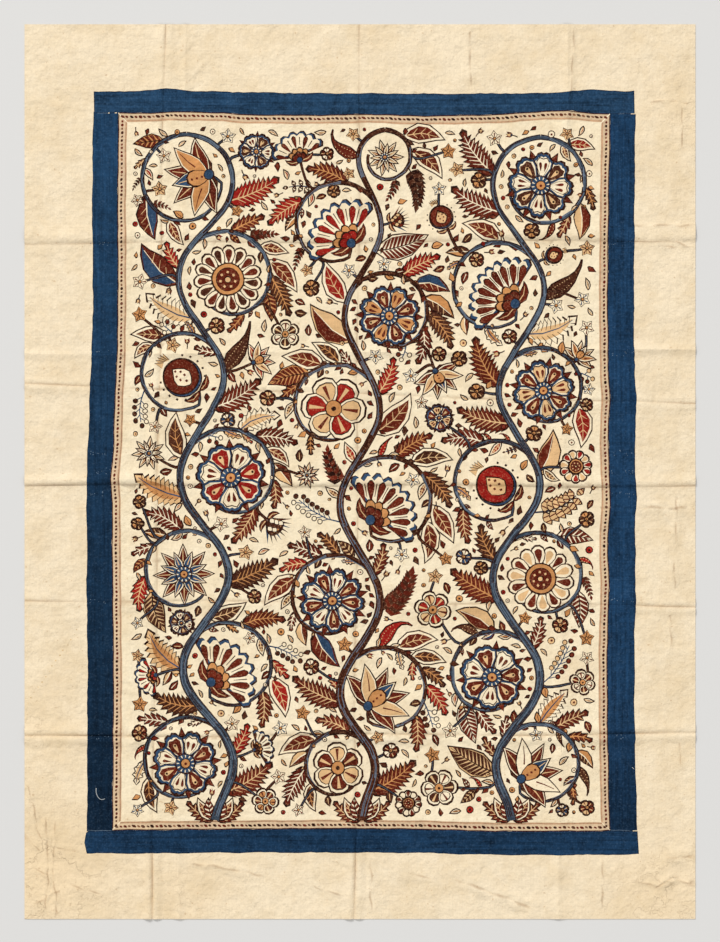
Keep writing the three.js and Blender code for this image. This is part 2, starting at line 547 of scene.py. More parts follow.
def carnation(radius, petals, fills):
    """A scalloped fan with rays inside it over two rows of scales."""
    spread = 1.32
    drawing = sepals(radius)
    for dye, step in (LINE, ("blue", 0.85 * PEN), ("ground", 0.85 * PEN + 0.05 * radius)):
        drawing.append((dye, scalloped(radius, spread, petals + 2, step)))
    leans = np.linspace(-0.86, 0.86, petals) * spread
    ray = 0.46 * radius, 0.085 * radius, LINE, (fills[0], 0.8)
    ray = petal("drop", *ray, start=0.38 * radius)
    drawing += fanned(leans, lambda k: ray)
    tick = [("line", stroke([0.5 * radius, 0.78 * radius], 0.8, 1.4))]
    drawing += fanned((leans[1:] + leans[:-1]) / 2, lambda k: tick)
    for reach, count, fill in ((0.44, 4, "ochre"), (0.3, 3, fills[0])):
        scale = petal("round", reach * radius, 0.12 * radius, LINE, (fill, FINE_PEN))
        drawing += fanned(np.linspace(-0.85, 0.85, count), lambda k: scale)
    return drawing + ring(0.12 * radius, 0, LINE, ("blue", FINE_PEN))


# The petals of a lotus: how far each leans, its length, its bend, and its dye by number, the third
# being blue.
LOTUS_PETALS = (
    (1.15, 0.9, 0.7, 0), (-1.15, 0.9, -0.7, 0), (0.3, 1.0, 0.2, 0), (-0.3, 1.0, -0.2, 0),
    (0.72, 0.98, 0.45, 1), (-0.72, 0.98, -0.45, 1), (0, 0.86, 0, 2),
)


def lotus(radius, petals, fills):
    """Pointed petals that open to either side of a seeded heart."""
    drawing = sepals(radius, "brown")
    for lean, length, bend, number in LOTUS_PETALS:
        fill = (*fills, "blue")[number]
        layers = LINE, ("ground", 0.85 * PEN), (fill, 0.85 * PEN + 1.2)
        leaf = petal("leaf", length * radius, 0.2 * radius, *layers, bend=bend)
        leaf.append(Rib(length * radius, bend).vein(mark_on(fill), [0.35, 0.55, 0.8], 1.9, 0.8))
        drawing += moved(leaf, heading=lean)
    drawing += petal("round", 0.5 * radius, 0.19 * radius, LINE, ("ochre", FINE_PEN))
    for k in range(3):
        drawing.append(("madder", disc(0.035 * radius, 4, (0.16 + 0.11 * k) * radius)))
    return drawing + ring(0.12 * radius, 0, LINE, ("blue", FINE_PEN))


def pomegranate(radius, petals, fills):
    """A split fruit with a seeded heart, a crown and a dotted ring."""
    size = 0.4 * radius
    middle = 0.46 * radius
    tip = petal("diamond", 0.34 * radius, 0.07 * radius, LINE, ("tan", 0.8))
    crown = fanned(np.linspace(-0.42, 0.42, 5), lambda k: tip)
    drawing = sepals(0.75 * radius) + moved(crown, middle + 0.86 * size)
    drawing += ring(1.06 * size, middle, LINE, ("blue", FINE_PEN))
    drawing += ring(size, middle + 0.1 * size, LINE, (fills[0], PEN))
    heart = 1.36 * size, 0.52 * size, LINE, (fills[1], FINE_PEN)
    drawing += petal("leaf", *heart, start=middle - 0.6 * size)
    for along, out in ((-0.34, 0), (-0.06, 0.17), (0.22, 0.17), (0.46, 0)):
        for side in (-1, 1) if out else (0,):
            at = middle + size * (along + 0.05 + 1j * out * side)
            drawing.append(("madder", disc(0.085 * size, 4, at)))
    dot = [("line", disc(0.032 * radius, 4, 1.2 * size))]
    return drawing + moved(fanned(np.linspace(0.9, TAU - 0.9, 13), lambda k: dot), middle)


def thistle(radius, petals, fills):
    """A tuft over a cup of overlapping scales."""
    dyes = ("blue", "line", fills[0])
    tuft = [petal("lance", 0.94 * radius, 0.055 * radius, (dye, 0)) for dye in dyes]
    drawing = sepals(radius) + fanned(np.linspace(-0.8, 0.8, 9), lambda k: tuft[k % 3])
    drawing += petal("round", 0.66 * radius, 0.36 * radius, LINE, ("ochre", PEN))
    for row, count in enumerate((4, 3, 2)):
        for k in range(count):
            at = (0.4 - 0.15 * row) * radius + 0.17j * radius * (k - (count - 1) / 2)
            fill = fills[(row + k) % 2]
            scale = petal("point", 0.26 * radius, 0.105 * radius, LINE, (fill, 0.9))
            drawing += moved(scale, at - 0.08 * radius)
    return drawing


# The field

# The field inside the rope border, and the room that motifs keep to its edge and to each other.
FIELD_LEFT, FIELD_RIGHT = -318.0, 327.0
FIELD_FOOT, FIELD_TOP = -476.0, 476.0
FIELD_ROOM = 4.5
MOTIF_ROOM = 0.9

dice = random.Random(23)

# All that is drawn on the face, and what has soaked through to the back.
shapes = []
seeped = []

# The stems that stalks may spring from.
stems = []


class Room:
    """The free space that is left round each place of a fine grid over the field."""

    def __init__(self, step=3.0):
        self.step = step
        across = np.arange(FIELD_LEFT, FIELD_RIGHT, step)
        up = np.arange(FIELD_FOOT, FIELD_TOP, step)
        self.at = across[None] + 1j * up[:, None]
        x, y = self.at.real, self.at.imag
        aside = np.minimum(x - FIELD_LEFT, FIELD_RIGHT - x)
        self.free = np.minimum(aside, np.minimum(y - FIELD_FOOT, FIELD_TOP - y)) - FIELD_ROOM

    def take(self, places, radius):
        places = np.atleast_1d(places)
        for at, r in zip(places, np.broadcast_to(radius, places.shape)):
            np.minimum(self.free, abs(self.at - at) - r, out=self.free)

    def left_at(self, places):
        column = np.rint((places.real - FIELD_LEFT) / self.step).astype(int)
        row = np.rint((places.imag - FIELD_FOOT) / self.step).astype(int)
        rows, columns = self.free.shape
        outside = (column < 0) | (row < 0) | (column >= columns) | (row >= rows)
        free = self.free[row.clip(0, rows - 1), column.clip(0, columns - 1)]
        return np.where(outside, -9.0, free)

    def largest(self):
        k = int(self.free.argmax())
        return self.at.flat[k], float(self.free.flat[k])


room = Room()

# Pairs of dyes that motifs may be drawn in.
DARK_RED = ("madder", "tan")
RED = ("red", "tan")
BROWN = ("brown", "tan")
WARM = ("brown", "ochre")
PALE = ("madder", "ground")
PALE_BROWN = ("brown", "ground")
STRIPED = ("ground", "madder")
MOTIF_DYES = {
    striped_leaf: (STRIPED, ("tan", "brown"), STRIPED, ("ochre", "madder")),
    toothed_leaf: (DARK_RED, ("madder", "ochre"), PALE, WARM, RED),
    margined_leaf: (DARK_RED, WARM, DARK_RED, RED, BROWN),
    lobed_leaf: (("ground", "ochre"), ("ground", "tan"), ("tan", "ochre")),
    halved_leaf: (("madder", "blue"), ("tan", "madder"), WARM),
    pod: (DARK_RED, RED, BROWN),
    frond: (("madder", "line"), ("madder", "brown"), ("brown", "line")),
    spray: (PALE, PALE_BROWN, DARK_RED),
    berries: (PALE, DARK_RED, PALE_BROWN),
    small_leaf: (DARK_RED, ("ochre", "madder"), BROWN, PALE),
    seed: (DARK_RED, ("line", "ochre"), PALE, ("line", "red")),
    bud: (("madder", "blue"), ("red", "brown"), ("madder", "brown")),
}
LARGE_LEAVES = (
    toothed_leaf, striped_leaf, margined_leaf, toothed_leaf, lobed_leaf, pod, spray, halved_leaf,
    margined_leaf, frond, berries, toothed_leaf,
)
SMALL_LEAVES = (
    small_leaf, striped_leaf, bud, small_leaf, margined_leaf, small_leaf, striped_leaf,
)

# The scrolls of each vine from its foot up: the middle and radius of each, its flower and that
# flower's petals and dyes. A vine passes its scrolls on alternate sides.
VINES = [
    {"side": 1, "dye": "stem", "scrolls": [
        (-238 - 398j, 66, rosette, 8, PALE),
        (-178 - 268j, 64, carnation, 7, PALE),
        (-240 - 140j, 62, star, 8, ("madder", "blue")),
        (-176 - 8j, 70, rosette, 7, ("red", "ground")),
        (-244 + 130j, 60, pomegranate, 5, PALE),
        (-180 + 262j, 68, wheel, 15, ("madder", "brown")),
        (-236 + 396j, 64, lotus, 7, ("madder", "ochre")),
    ]},
    {"side": 1, "dye": "brown", "scrolls": [
        (-30 - 404j, 52, bloom, 6, DARK_RED),
        (34 - 300j, 62, lotus, 7, DARK_RED),
        (-38 - 176j, 66, rosette, 9, PALE),
        (38 - 44j, 66, carnation, 8, PALE),
        (-36 + 86j, 64, bloom, 6, RED),
        (40 + 212j, 62, rosette, 8, ("madder", "ochre")),
        (-32 + 334j, 62, carnation, 7, ("red", "ground")),
        (34 + 428j, 38, star, 7, ("madder", "brown")),
    ]},
    {"side": -1, "dye": "stem", "scrolls": [
        (244 - 402j, 60, lotus, 7, PALE),
        (180 - 280j, 66, rosette, 7, PALE),
        (246 - 146j, 66, wheel, 14, DARK_RED),
        (184 - 18j, 62, pomegranate, 5, RED),
        (250 + 110j, 62, rosette, 8, DARK_RED),
        (186 + 248j, 66, carnation, 9, PALE),
        (246 + 390j, 66, rosette, 8, PALE_BROWN),
    ]},
]
SIDE_VIEWS = (carnation, lotus, pomegranate, thistle)

# The flowers on stalks beside the scrolls, taken in turn, and the dyes that they may have.
SIDE_KINDS = (bloom, lotus, rosette, carnation, bloom, pomegranate, star, thistle, wheel)
SIDE_DYES = (DARK_RED, PALE_BROWN, PALE, ("madder", "ochre"), RED)
SMALL_KINDS = (daisy, bloom, daisy)
SMALL_DYES = (PALE, DARK_RED, WARM, ("blue", "ground"))

# What fills a gap whose free circle is at least this large.
FILLERS = [
    (6.4, (small_leaf, margined_leaf, bud, small_leaf, margined_leaf, seed)),
    (4.6, (small_leaf, small_leaf, seed)),
]


# The widths of each kind of stem at its ends, how many streaks run side by side along it, and the
# dyes of the streaks and of the stalks.
STALK = (3.4, 2.4, 1)
COIL = (5.8, 3.2, 2)
TRUNK = (12.0, 6.0, 3)
STREAK_DYES = ("line", "slate", "line", "slate")
STALK_DYES = ("stem", "stem", "brown")

# How long the leaves may be that grow beside the vines, the coils and the stalks, first and later,
# and the free room that side flowers and small ones begin at, and the most that they take.
VINE_LEAVES = (78, 68, 58, 48)
COIL_LEAVES = (62, 52, 43, 35)
LATER_VINE_LEAVES = (42, 34, 27, 21, 16)
LATER_COIL_LEAVES = (28, 22, 17, 13)
STALK_LEAVES = (30, 24, 18, 13)
SIDE_ROOM = (18.5, 27)
SMALL_ROOM = (10.5, 12.5)


def stem(path, dye, start, end, streaks):
    """A stem with dark edges and grain lines along it."""
    drawing = [("line", stroke(path, start + 1.3, end + 1.1))]
    drawing.append((dye, stroke(path, start - 1.7, max(end - 1.5, 0.6))))
    heading = np.gradient(path)
    heading /= abs(heading)
    width = np.linspace(start, end, len(path))
    run = 7
    for first in range(1, len(path) - run, run - 2):
        part = slice(first, first + run, 3)
        for k in range(streaks):
            aside = (k + 0.5) / streaks - 0.5 + 0.12 * dice.uniform(-1, 1)
            line = path[part] + 1j * heading[part] * width[part] * aside * 0.72
            drawing.append((dice.choice(STREAK_DYES), stroke(line, 1.2, 0.7)))
    return drawing


def climb(vine):
    """The line of a vine round its scrolls, and the angle and sense in which it leaves each."""
    scrolls, side = vine["scrolls"], vine["side"]
    middle, radius = scrolls[0][:2]
    foot = middle.real + 0.62 * side * radius + 1j * (FIELD_FOOT + 1)
    path = [[foot, foot + 9j]]
    arrive = -0.55 if side > 0 else math.pi + 0.55
    leaves = []
    for k, (middle, radius, *_) in enumerate(scrolls):
        leave = math.pi / 2
        if k + 1 < len(scrolls):
            gap = scrolls[k + 1][0] - middle
            lean = side * math.acos(min(1, (radius + scrolls[k + 1][1]) / abs(gap)))
            leave = np.angle(gap) - lean
        leave = arrive + side * (side * (leave - arrive) % TAU)
        count = max(3, round(radius * abs(leave - arrive) / 6))
        path.append(middle + radius * np.exp(1j * np.linspace(arrive, leave, count)))
        leaves.append((leave, side))
        arrive = leave + math.pi
        side = -side
    path = resampled(joined(path), 11)
    for _ in range(2):
        path[1:-1] = (path[:-2] + 2 * path[1:-1] + path[2:]) / 4
    return smooth(path), leaves


def coil_in(middle, radius, leave, side, size, side_view):
    """The coil that goes on round a scroll where the vine leaves it, and ends at its flower. The
    second result is where a flower seen from the side stands, and which way it faces."""
    turns = np.linspace(0, 1, 26)
    if not side_view:
        inward = 1 - 0.4 * turns**1.3
        return middle + radius * inward * np.exp(1j * (leave + side * 4.9 * turns)), None, None
    coil = middle + radius * (1 - 0.24 * turns**1.5) * np.exp(1j * (leave + side * 4.3 * turns))
    facing = -np.exp(1j * (leave + side * 5.0))
    base = middle - 0.5 * size * facing
    bend = 0.5 * (coil[-1] + base) - 0.16 * radius * facing
    ending = smooth([coil[-2], coil[-1], bend, base])
    return joined([coil[:-2], ending]), base, np.angle(facing)


def stalk_to(at, least):
    """A stalk that leaves the nearest stem along it and bends to the place."""
    places = joined(stems)
    headings = joined([np.gradient(path) for path in stems])
    away = abs(places - at)
    away[away < least] = 1e9
    k = int(away.argmin())
    root, away, heading = places[k], away[k], headings[k] / abs(headings[k])
    toward = (at - root) / abs(at - root)
    if (heading * np.conj(toward)).real < 0:
        heading = -heading
    t = np.linspace(0, 1, 8)
    bends = t * (1 - t) ** 2 * heading * 1.2 - t**2 * (1 - t) * toward * 0.9
    return root + away * (t**2 * (3 - 2 * t) * toward + bends)


def grow(path, every, lengths, lean=0.95, first=0.0, sides=(1, -1)):
    """Leaves beside a stem, each as long as its place leaves room for."""
    drawing = []
    steps = steps_along(path)
    for n, along in enumerate(np.arange(every * 0.5 + first, steps[-1], every)):
        at = placed(along, steps, path)
        k = min(int(np.searchsorted(steps, along)), len(path) - 1)
        ahead = np.angle(path[k] - path[k - 1])
        side = sides[n % len(sides)]
        for length in lengths:
            kind = dice.choice(LARGE_LEAVES if length > 21 else SMALL_LEAVES)
            heading = ahead + side * (lean + 0.3 * dice.uniform(-1, 1))
            bend = -side * dice.uniform(0.2, 1.0)
            spots = at + np.exp(1j * heading) * Rib(length, bend).at([0.4, 0.66, 0.92])
            wide = 0.05 * length if kind in (spray, frond, berries) else 0
            needed = np.array([0.15, 0.17, 0.06]) * length + wide + MOTIF_ROOM
            if (room.left_at(spots) > needed).all():
                drawing += moved(kind(length, bend, dice.choice(MOTIF_DYES[kind])), at, heading)
                room.take(spots, np.array([0.2, 0.2, 0.1]) * length + wide)
                break
    return drawing


def side_flowers(smallest, largest, kinds, dyes):
    """Flowers on stalks of their own in the largest gaps, as their stalks and their heads."""
    stalks, heads = [], []
    while True:
        at, radius = room.largest()
        if radius < smallest:
            return stalks, heads
        radius = min(radius, largest) - MOTIF_ROOM
        kind = kinds[len(stalks) % len(kinds)]
        path = stalk_to(at, radius * 0.8)
        fills = dice.choice(dyes)
        if kind in SIDE_VIEWS:
            turn = np.angle(path[-1] - path[-3])
            base = at - 0.7 * radius * np.exp(1j * turn)
            heads += moved(kind(1.55 * radius, 5, fills), base, turn)
        else:
            petals = {star: 7, wheel: 11, rosette: 6}.get(kind, 5 if radius < 16 else 6)
            heads += moved(kind(radius, petals, fills), at, dice.uniform(0, 1))
        stalks.append(path)
        room.take(at, radius + MOTIF_ROOM)
        room.take(path[2:6], 2.0)


def foot_leaves(at):
    """A clump of leaves where a vine springs from the border."""
    drawing = []
    for side in (-1, 1):
        for lean, length, kind in (
            (1.32, 46, toothed_leaf), (0.98, 40, margined_leaf), (0.6, 34, striped_leaf),
        ):
            leaf = kind(length, side * 0.75, MOTIF_DYES[kind][0])
            drawing += moved(leaf, at + 2 * side, math.pi / 2 - side * lean)
    return drawing


def place_scrolls():
    """The coils with their dyes and senses, and their flowers. They take up room in the field."""
    coils, heads = [], []
    for vine in VINES:
        path, ways = climb(vine)
        stems.append(path)
        for (leave, side), (middle, radius, kind, petals, fills) in zip(ways, vine["scrolls"]):
            size = (1.06 if kind is pomegranate else 0.98) * radius
            coil, base, facing = coil_in(middle, radius, leave, side, size, kind in SIDE_VIEWS)
            coils.append((coil, vine["dye"], side))
            if base is None:
                heads += moved(kind(0.7 * radius, petals, fills), middle, dice.uniform(0, 1))
                room.take(middle, 0.71 * radius)
                lobes = 0.6 + 0.06 * (-1) ** np.arange(16)
                blot = radius * lobes * np.exp(1j * TAU * np.arange(16) / 16)
                seeped.append(("seeped_madder", middle + blot))
            else:
                head = moved(kind(size, petals, fills), base, facing)
                blot = scalloped(0.9 * size, 1.1, 4, 0)
                seeped.extend(moved([("seeped_madder", blot)], base, facing))
                heads += head
                room.take(middle, 0.4 * radius)
                room.take(joined([outline for _, outline in head])[::2], 5.0)
    clump = np.array([-36 + 10j, -20 + 10j, -22 + 22j, 20 + 10j, 36 + 10j, 22 + 22j])
    for path in stems:
        room.take(path[::2], 5.6)
        room.take(path[0] + clump, 11)
    for coil, _, _ in coils:
        room.take(coil[2::2], 3.6)
    return coils, heads


def print_vines():
    """Finds room for the scrolls and their flowers, then for large leaves, then for side flowers
    and small leaves, and draws the leaves under the stems and the flowers over them."""
    coils, heads = place_scrolls()
    vines = list(stems)
    leaves = []
    for path in vines:
        leaves += grow(path, 27, VINE_LEAVES)
    for coil, _, side in coils:
        leaves += grow(coil[2:-6], 22, COIL_LEAVES, lean=0.85, sides=(-side,))
        stems.append(coil[4:-6])
    stalks, flowers = side_flowers(*SIDE_ROOM, SIDE_KINDS, SIDE_DYES)
    stems.extend(path[1:] for path in stalks)
    for path in vines:
        leaves += grow(path, 13, LATER_VINE_LEAVES, first=6)
    for coil, _, side in coils:
        leaves += grow(coil[2:-6], 13, LATER_COIL_LEAVES, lean=0.85, sides=(side, -side))
    for path in stalks:
        leaves += grow(path, 9, STALK_LEAVES, lean=1.0)
    small, blossoms = side_flowers(*SMALL_ROOM, SMALL_KINDS, SMALL_DYES)
    for path in stalks + small:
        leaves += stem(path, dice.choice(STALK_DYES), *STALK)
    for coil, dye, _ in coils:
        leaves += stem(coil, dye, *COIL)
    for vine, path in zip(VINES, vines):
        leaves += foot_leaves(path[0]) + stem(path, vine["dye"], *TRUNK)
    shapes.extend(leaves + heads + flowers + blossoms)
    seeped.extend(("seeped_line", stroke(coil[::3], 5, 4)) for coil, _, _ in coils)
    seeped.extend(("seeped_line", stroke(path[::2], 10, 6)) for path in vines)


def fill_gaps():
    """Small motifs in what room is left, the largest gaps first."""
    for least, kinds in FILLERS:
        at, radius = room.largest()
        while radius >= least:
            radius = min(radius, 1.5 * least)
            heading = dice.uniform(0, TAU)
            kind = dice.choice(kinds)
            length = 1.9 * radius
            drawing = kind(length, dice.choice((-0.7, 0.7)), dice.choice(MOTIF_DYES[kind]))
            shapes.extend(moved(drawing, at - 0.5 * length * np.exp(1j * heading), heading))
            room.take(at, radius)
            at, radius = room.largest()


# The borders

# The edges of the four strokes of the indigo band. Each stroke runs between two lines of places.
BAND = {
    "left": [
        [-363.5 + 490j, -365 + 370j, -363.7 + 268j, -364.2 + 200j, -367.3 + 132j, -369.6 + 63j,
         -372 + 0j, -373 - 39j, -371.9 - 73j, -372.5 - 175j, -371.2 - 243j, -371.6 - 346j,
         -372 - 490j],
        [-329 + 491j, -330.5 + 370j, -330 + 268j, -330.8 + 166j, -334.3 + 97j, -336.1 + 29j,
         -339.9 - 5j, -338 - 39j, -337.5 - 141j, -336.1 - 277j, -336.7 - 380j, -337.5 - 490j],
    ],
    "right": [
        [341 + 489j, 338.8 + 370j, 337.4 + 234j, 338.7 + 132j, 340.8 + 97j, 338.9 + 63j,
         338.5 + 29j, 341.5 - 39j, 338.7 - 73j, 337.7 - 107j, 339.6 - 158j, 336.9 - 243j,
         337.3 - 346j, 340.3 - 490.5j],
        [375.2 + 488j, 373.9 + 336j, 373.3 + 200j, 374.4 + 132j, 377.4 + 97j, 374.9 + 63j,
         375.2 - 5j, 377.5 - 39j, 374.8 - 73j, 376 - 175j, 374.2 - 209j, 374.3 - 346j, 376 - 414j,
         378 - 490.5j],
    ],
    "top": [
        [-362.5 + 489j, -330 + 488.8j, -293 + 488.2j, -259 + 490.2j, -190 + 489.2j, -156 + 486j,
         -54 + 485.5j, 14 + 487j, 83 + 484.4j, 185 + 486.2j, 253 + 491.2j, 287 + 491.4j,
         321 + 488j, 341 + 487.2j, 374 + 487.4j],
        [-363 + 517.5j, -293 + 519.4j, -259 + 522.4j, -224 + 518.6j, -88 + 516j, 117 + 515j,
         253 + 516j, 287 + 518.7j, 321 + 520.8j, 355 + 518.7j, 374.5 + 518.7j],
    ],
    "bottom": [
        [-373 - 520.3j, -259 - 520j, -122 - 519j, 83 - 519.5j, 151 - 521.6j, 219 - 522.5j,
         321 - 522.2j, 379.5 - 521.3j],
        [-375.6 - 506j, -374.6 - 496j, -371.6 - 488.8j, -337.5 - 488.4j, -224 - 487.3j,
         -20 - 486j, 83 - 487j, 185 - 490j, 321 - 489.6j, 340.3 - 488.8j, 378.2 - 488.8j],
    ],
}
BAND_DYES = {
    "left": "indigo_left", "right": "indigo_right", "top": "indigo_top", "bottom": "indigo_foot",
}

# Pale gaps where the strokes meet: their dye, left end and length.
BAND_GAPS = (
    ("worn", -358 + 488.8j, 14), ("cloth", -343 + 489.2j, 2.2), ("cloth", -334 + 488.6j, 2.6),
    ("cloth", 368.5 + 487.6j, 9), ("worn", 352 + 487.4j, 8), ("worn", -371 - 488.6j, 32),
    ("worn", 342 - 488.8j, 26), ("cloth", 372 - 488.9j, 8),
)
GAP_WIDTHS = {"cloth": 1.1, "worn": 0.45}

# Where folds have rubbed the indigo pale, as heights up the side strokes and ranges across them.
RUBBED_HEIGHTS = (311, 162, 24, 0, -30, -176, -361)
RUBBED_RANGES = ((-369, -336), (342, 373))

# The rope border, inside the band: where each side begins and ends, and which way is inward.
ROPE_SIDES = {
    "left": (BAND["left"][1], 1, (-486.5, 487)),
    "right": (BAND["right"][0], -1, (-488, 486)),
    "top": (BAND["top"][0][1:-1], -1j, (-329, 340)),
    "bottom": (BAND["bottom"][1][3:-1], 1j, (-337, 340)),
}

# Its dashes, by whether a side runs level: how far apart they are, how long, and how they slant.
# Large ones and small ones take turns: a share of that length, half their width, and their dyes.
ROPE_DASHES = {
    False: {"pitch": 5.3, "length": 4.0, "slant": -0.35},
    True: {"pitch": 6.1, "length": 5.4, "slant": -0.4},
}
ROPE_TURNS = (
    (0.58, 1.85, ("line", "madder", "brown")), (0.44, 1.5, ("madder", "brown", "faded")),
)

# How far inside the band its dashes, its blushed ground and its fine lines lie, and those lines'
# widths and dyes.
ROPE_INSIDE = 5.0
ROPE_GROUND = (1.0, 12.0)
ROPE_LINES = ((0.4, 1.2, "brown"), (10.3, 1.9, "rope"))

# Small stains down the left margin from one place to another, and threads on the indigo.
STAINS = 15
STAINS_FROM, STAINS_TO = -385 - 215j, -453 - 315j
LOOSE_THREAD = [-359.5 - 431j, -359.5 - 437j, -357 - 443j, -352 - 446.5j, -347.5 - 445.5j]
THREAD_END = [371 - 403j, 374 - 405.5j]


def wobbled(line, most):
    return line + most * np.array([dice.uniform(-1, 1) + 1j * dice.uniform(-1, 1) for _ in line])


def paint_band():
    """Four strokes, each with a darker edge where the dye has pooled, and the places where they
    meet or are rubbed."""
    for name, edges in BAND.items():
        lower, upper = (wobbled(resampled(edge, 7), 0.4) for edge in edges)
        shapes.append(("indigo_edge", joined([lower, upper[::-1]])))
        level = name in ("top", "bottom")
        across, ahead = (1j, 1.2) if level else (1, -1.2j)
        insets = [
            np.array([dice.uniform(0.5, 1.7) for _ in edge]) * across for edge in (lower, upper)
        ]
        lower, upper = lower + insets[0], upper - insets[1]
        for line in (lower, upper):
            line[0] += ahead
            line[-1] -= ahead
        shapes.append((BAND_DYES[name], joined([lower, upper[::-1]])))
    for dye, at, length in BAND_GAPS:
        line = wobbled(np.linspace(at, at + length, max(3, round(length / 4))), 0.25)
        shapes.append((dye, stroke(line, GAP_WIDTHS[dye], GAP_WIDTHS[dye])))
    for up in RUBBED_HEIGHTS:
        for left, right in RUBBED_RANGES:
            for _ in range(9):
                at = dice.uniform(left, right) + 1j * (up + dice.gauss(0, 2.2))
                shapes.append(("worn", disc(dice.uniform(0.35, 0.75), 4, at)))


def even_run(start, end, every=11.0):
    return np.linspace(start, end, round((end - start) / every) + 1)


def print_rope():
    """Slanting dashes on a blushed ground between fine lines."""
    for edge, inward, (start, end) in ROPE_SIDES.values():
        edge = np.asarray(edge, complex)
        level = abs(inward.imag) == 1
        key, value = (edge.real, edge.imag) if level else (edge.imag, edge.real)
        order = np.argsort(key)

        def inside(by, along):
            away = np.interp(along, key[order], value[order])
            return (along + 1j * away if level else away + 1j * along) + by * inward

        def side_line(by):
            return inside(by, even_run(start + by, end - by))

        near, far = ROPE_GROUND
        shapes.append(("blush", joined([side_line(near), side_line(far)[::-1]])))
        for by, width, dye in ROPE_LINES:
            shapes.append((dye, stroke(side_line(by), width, width)))
        dashes = ROPE_DASHES[level]
        turn = np.exp(1j * ((0 if level else math.pi / 2) + dashes["slant"]))
        for k in range(int((end - start - 2 * ROPE_INSIDE) / dashes["pitch"]) + 1):
            share, half, dyes = ROPE_TURNS[k % 2]
            along = start + ROPE_INSIDE + k * dashes["pitch"] + dice.uniform(-0.4, 0.4)
            reach = dashes["length"] * share * dice.uniform(0.88, 1.12)
            half *= dice.uniform(0.88, 1.12)
            dye = dice.choice(dyes)
            dash = reach * disc(1, 6).real + 1j * half * disc(1, 6).imag
            shapes.append((dye, inside(ROPE_INSIDE, along) + dash * turn))


def spot_margins():
    """Stains outside the band, and loose threads on it."""
    for k in range(STAINS):
        at = STAINS_FROM + (STAINS_TO - STAINS_FROM) * k / (STAINS - 1) + dice.uniform(-1.5, 1.5)
        shapes.append(("stain", disc(dice.uniform(0.7, 1.5), 6, at)))
    shapes.append(("thread", stroke(smooth(LOOSE_THREAD), 0.9, 0.7)))
    shapes.append(("thread", stroke(THREAD_END, 0.7, 0.5)))


# Relief

# The main folds, as in the solid. start and end are where a fold's line meets the edges of the
# cloth, from its middle; reach is how far the fold is felt to either side, rise its height, and
# start_rise and end_rise the shares of it left at the edges.
FOLD_COLUMNS = ("start", "end", "reach", "rise", "kind", "start_rise", "end_rise")
UPRIGHT_FOLDS = [dict(zip(FOLD_COLUMNS, row)) for row in (
    (-284, -266, 13, 2.6, "trough", 1, 0.6),
    (-247, -239, 11, 2.0, "ridge", 0.7, 0.8),
    (-8, 0, 15, 2.6, "trough", 1, 0.2),
    (271, 282, 14, 3.2, "ridge", 0.6, 1),
)]
LEVEL_FOLDS = [dict(zip(FOLD_COLUMNS, row)) for row in (
    (-361, -357, 15, 3.4, "trough", 1, 0.9),
    (-175, -183, 13, 1.6, "trough", 0.5, 1),
    (-19, -20, 16, 3.6, "step", 1, 0.9),
    (119, 92, 12, 1.8, "trough", 1, 0.5),
    (160, 166, 13, 2.8, "ridge", 0.9, 0.9),
    (311, 315, 26, 3.0, "step", 0.8, 1),
)]
SWELL = 0.28
SWELL_LENGTH = 310
STRAY = 1.4
STRAY_LENGTH = 430

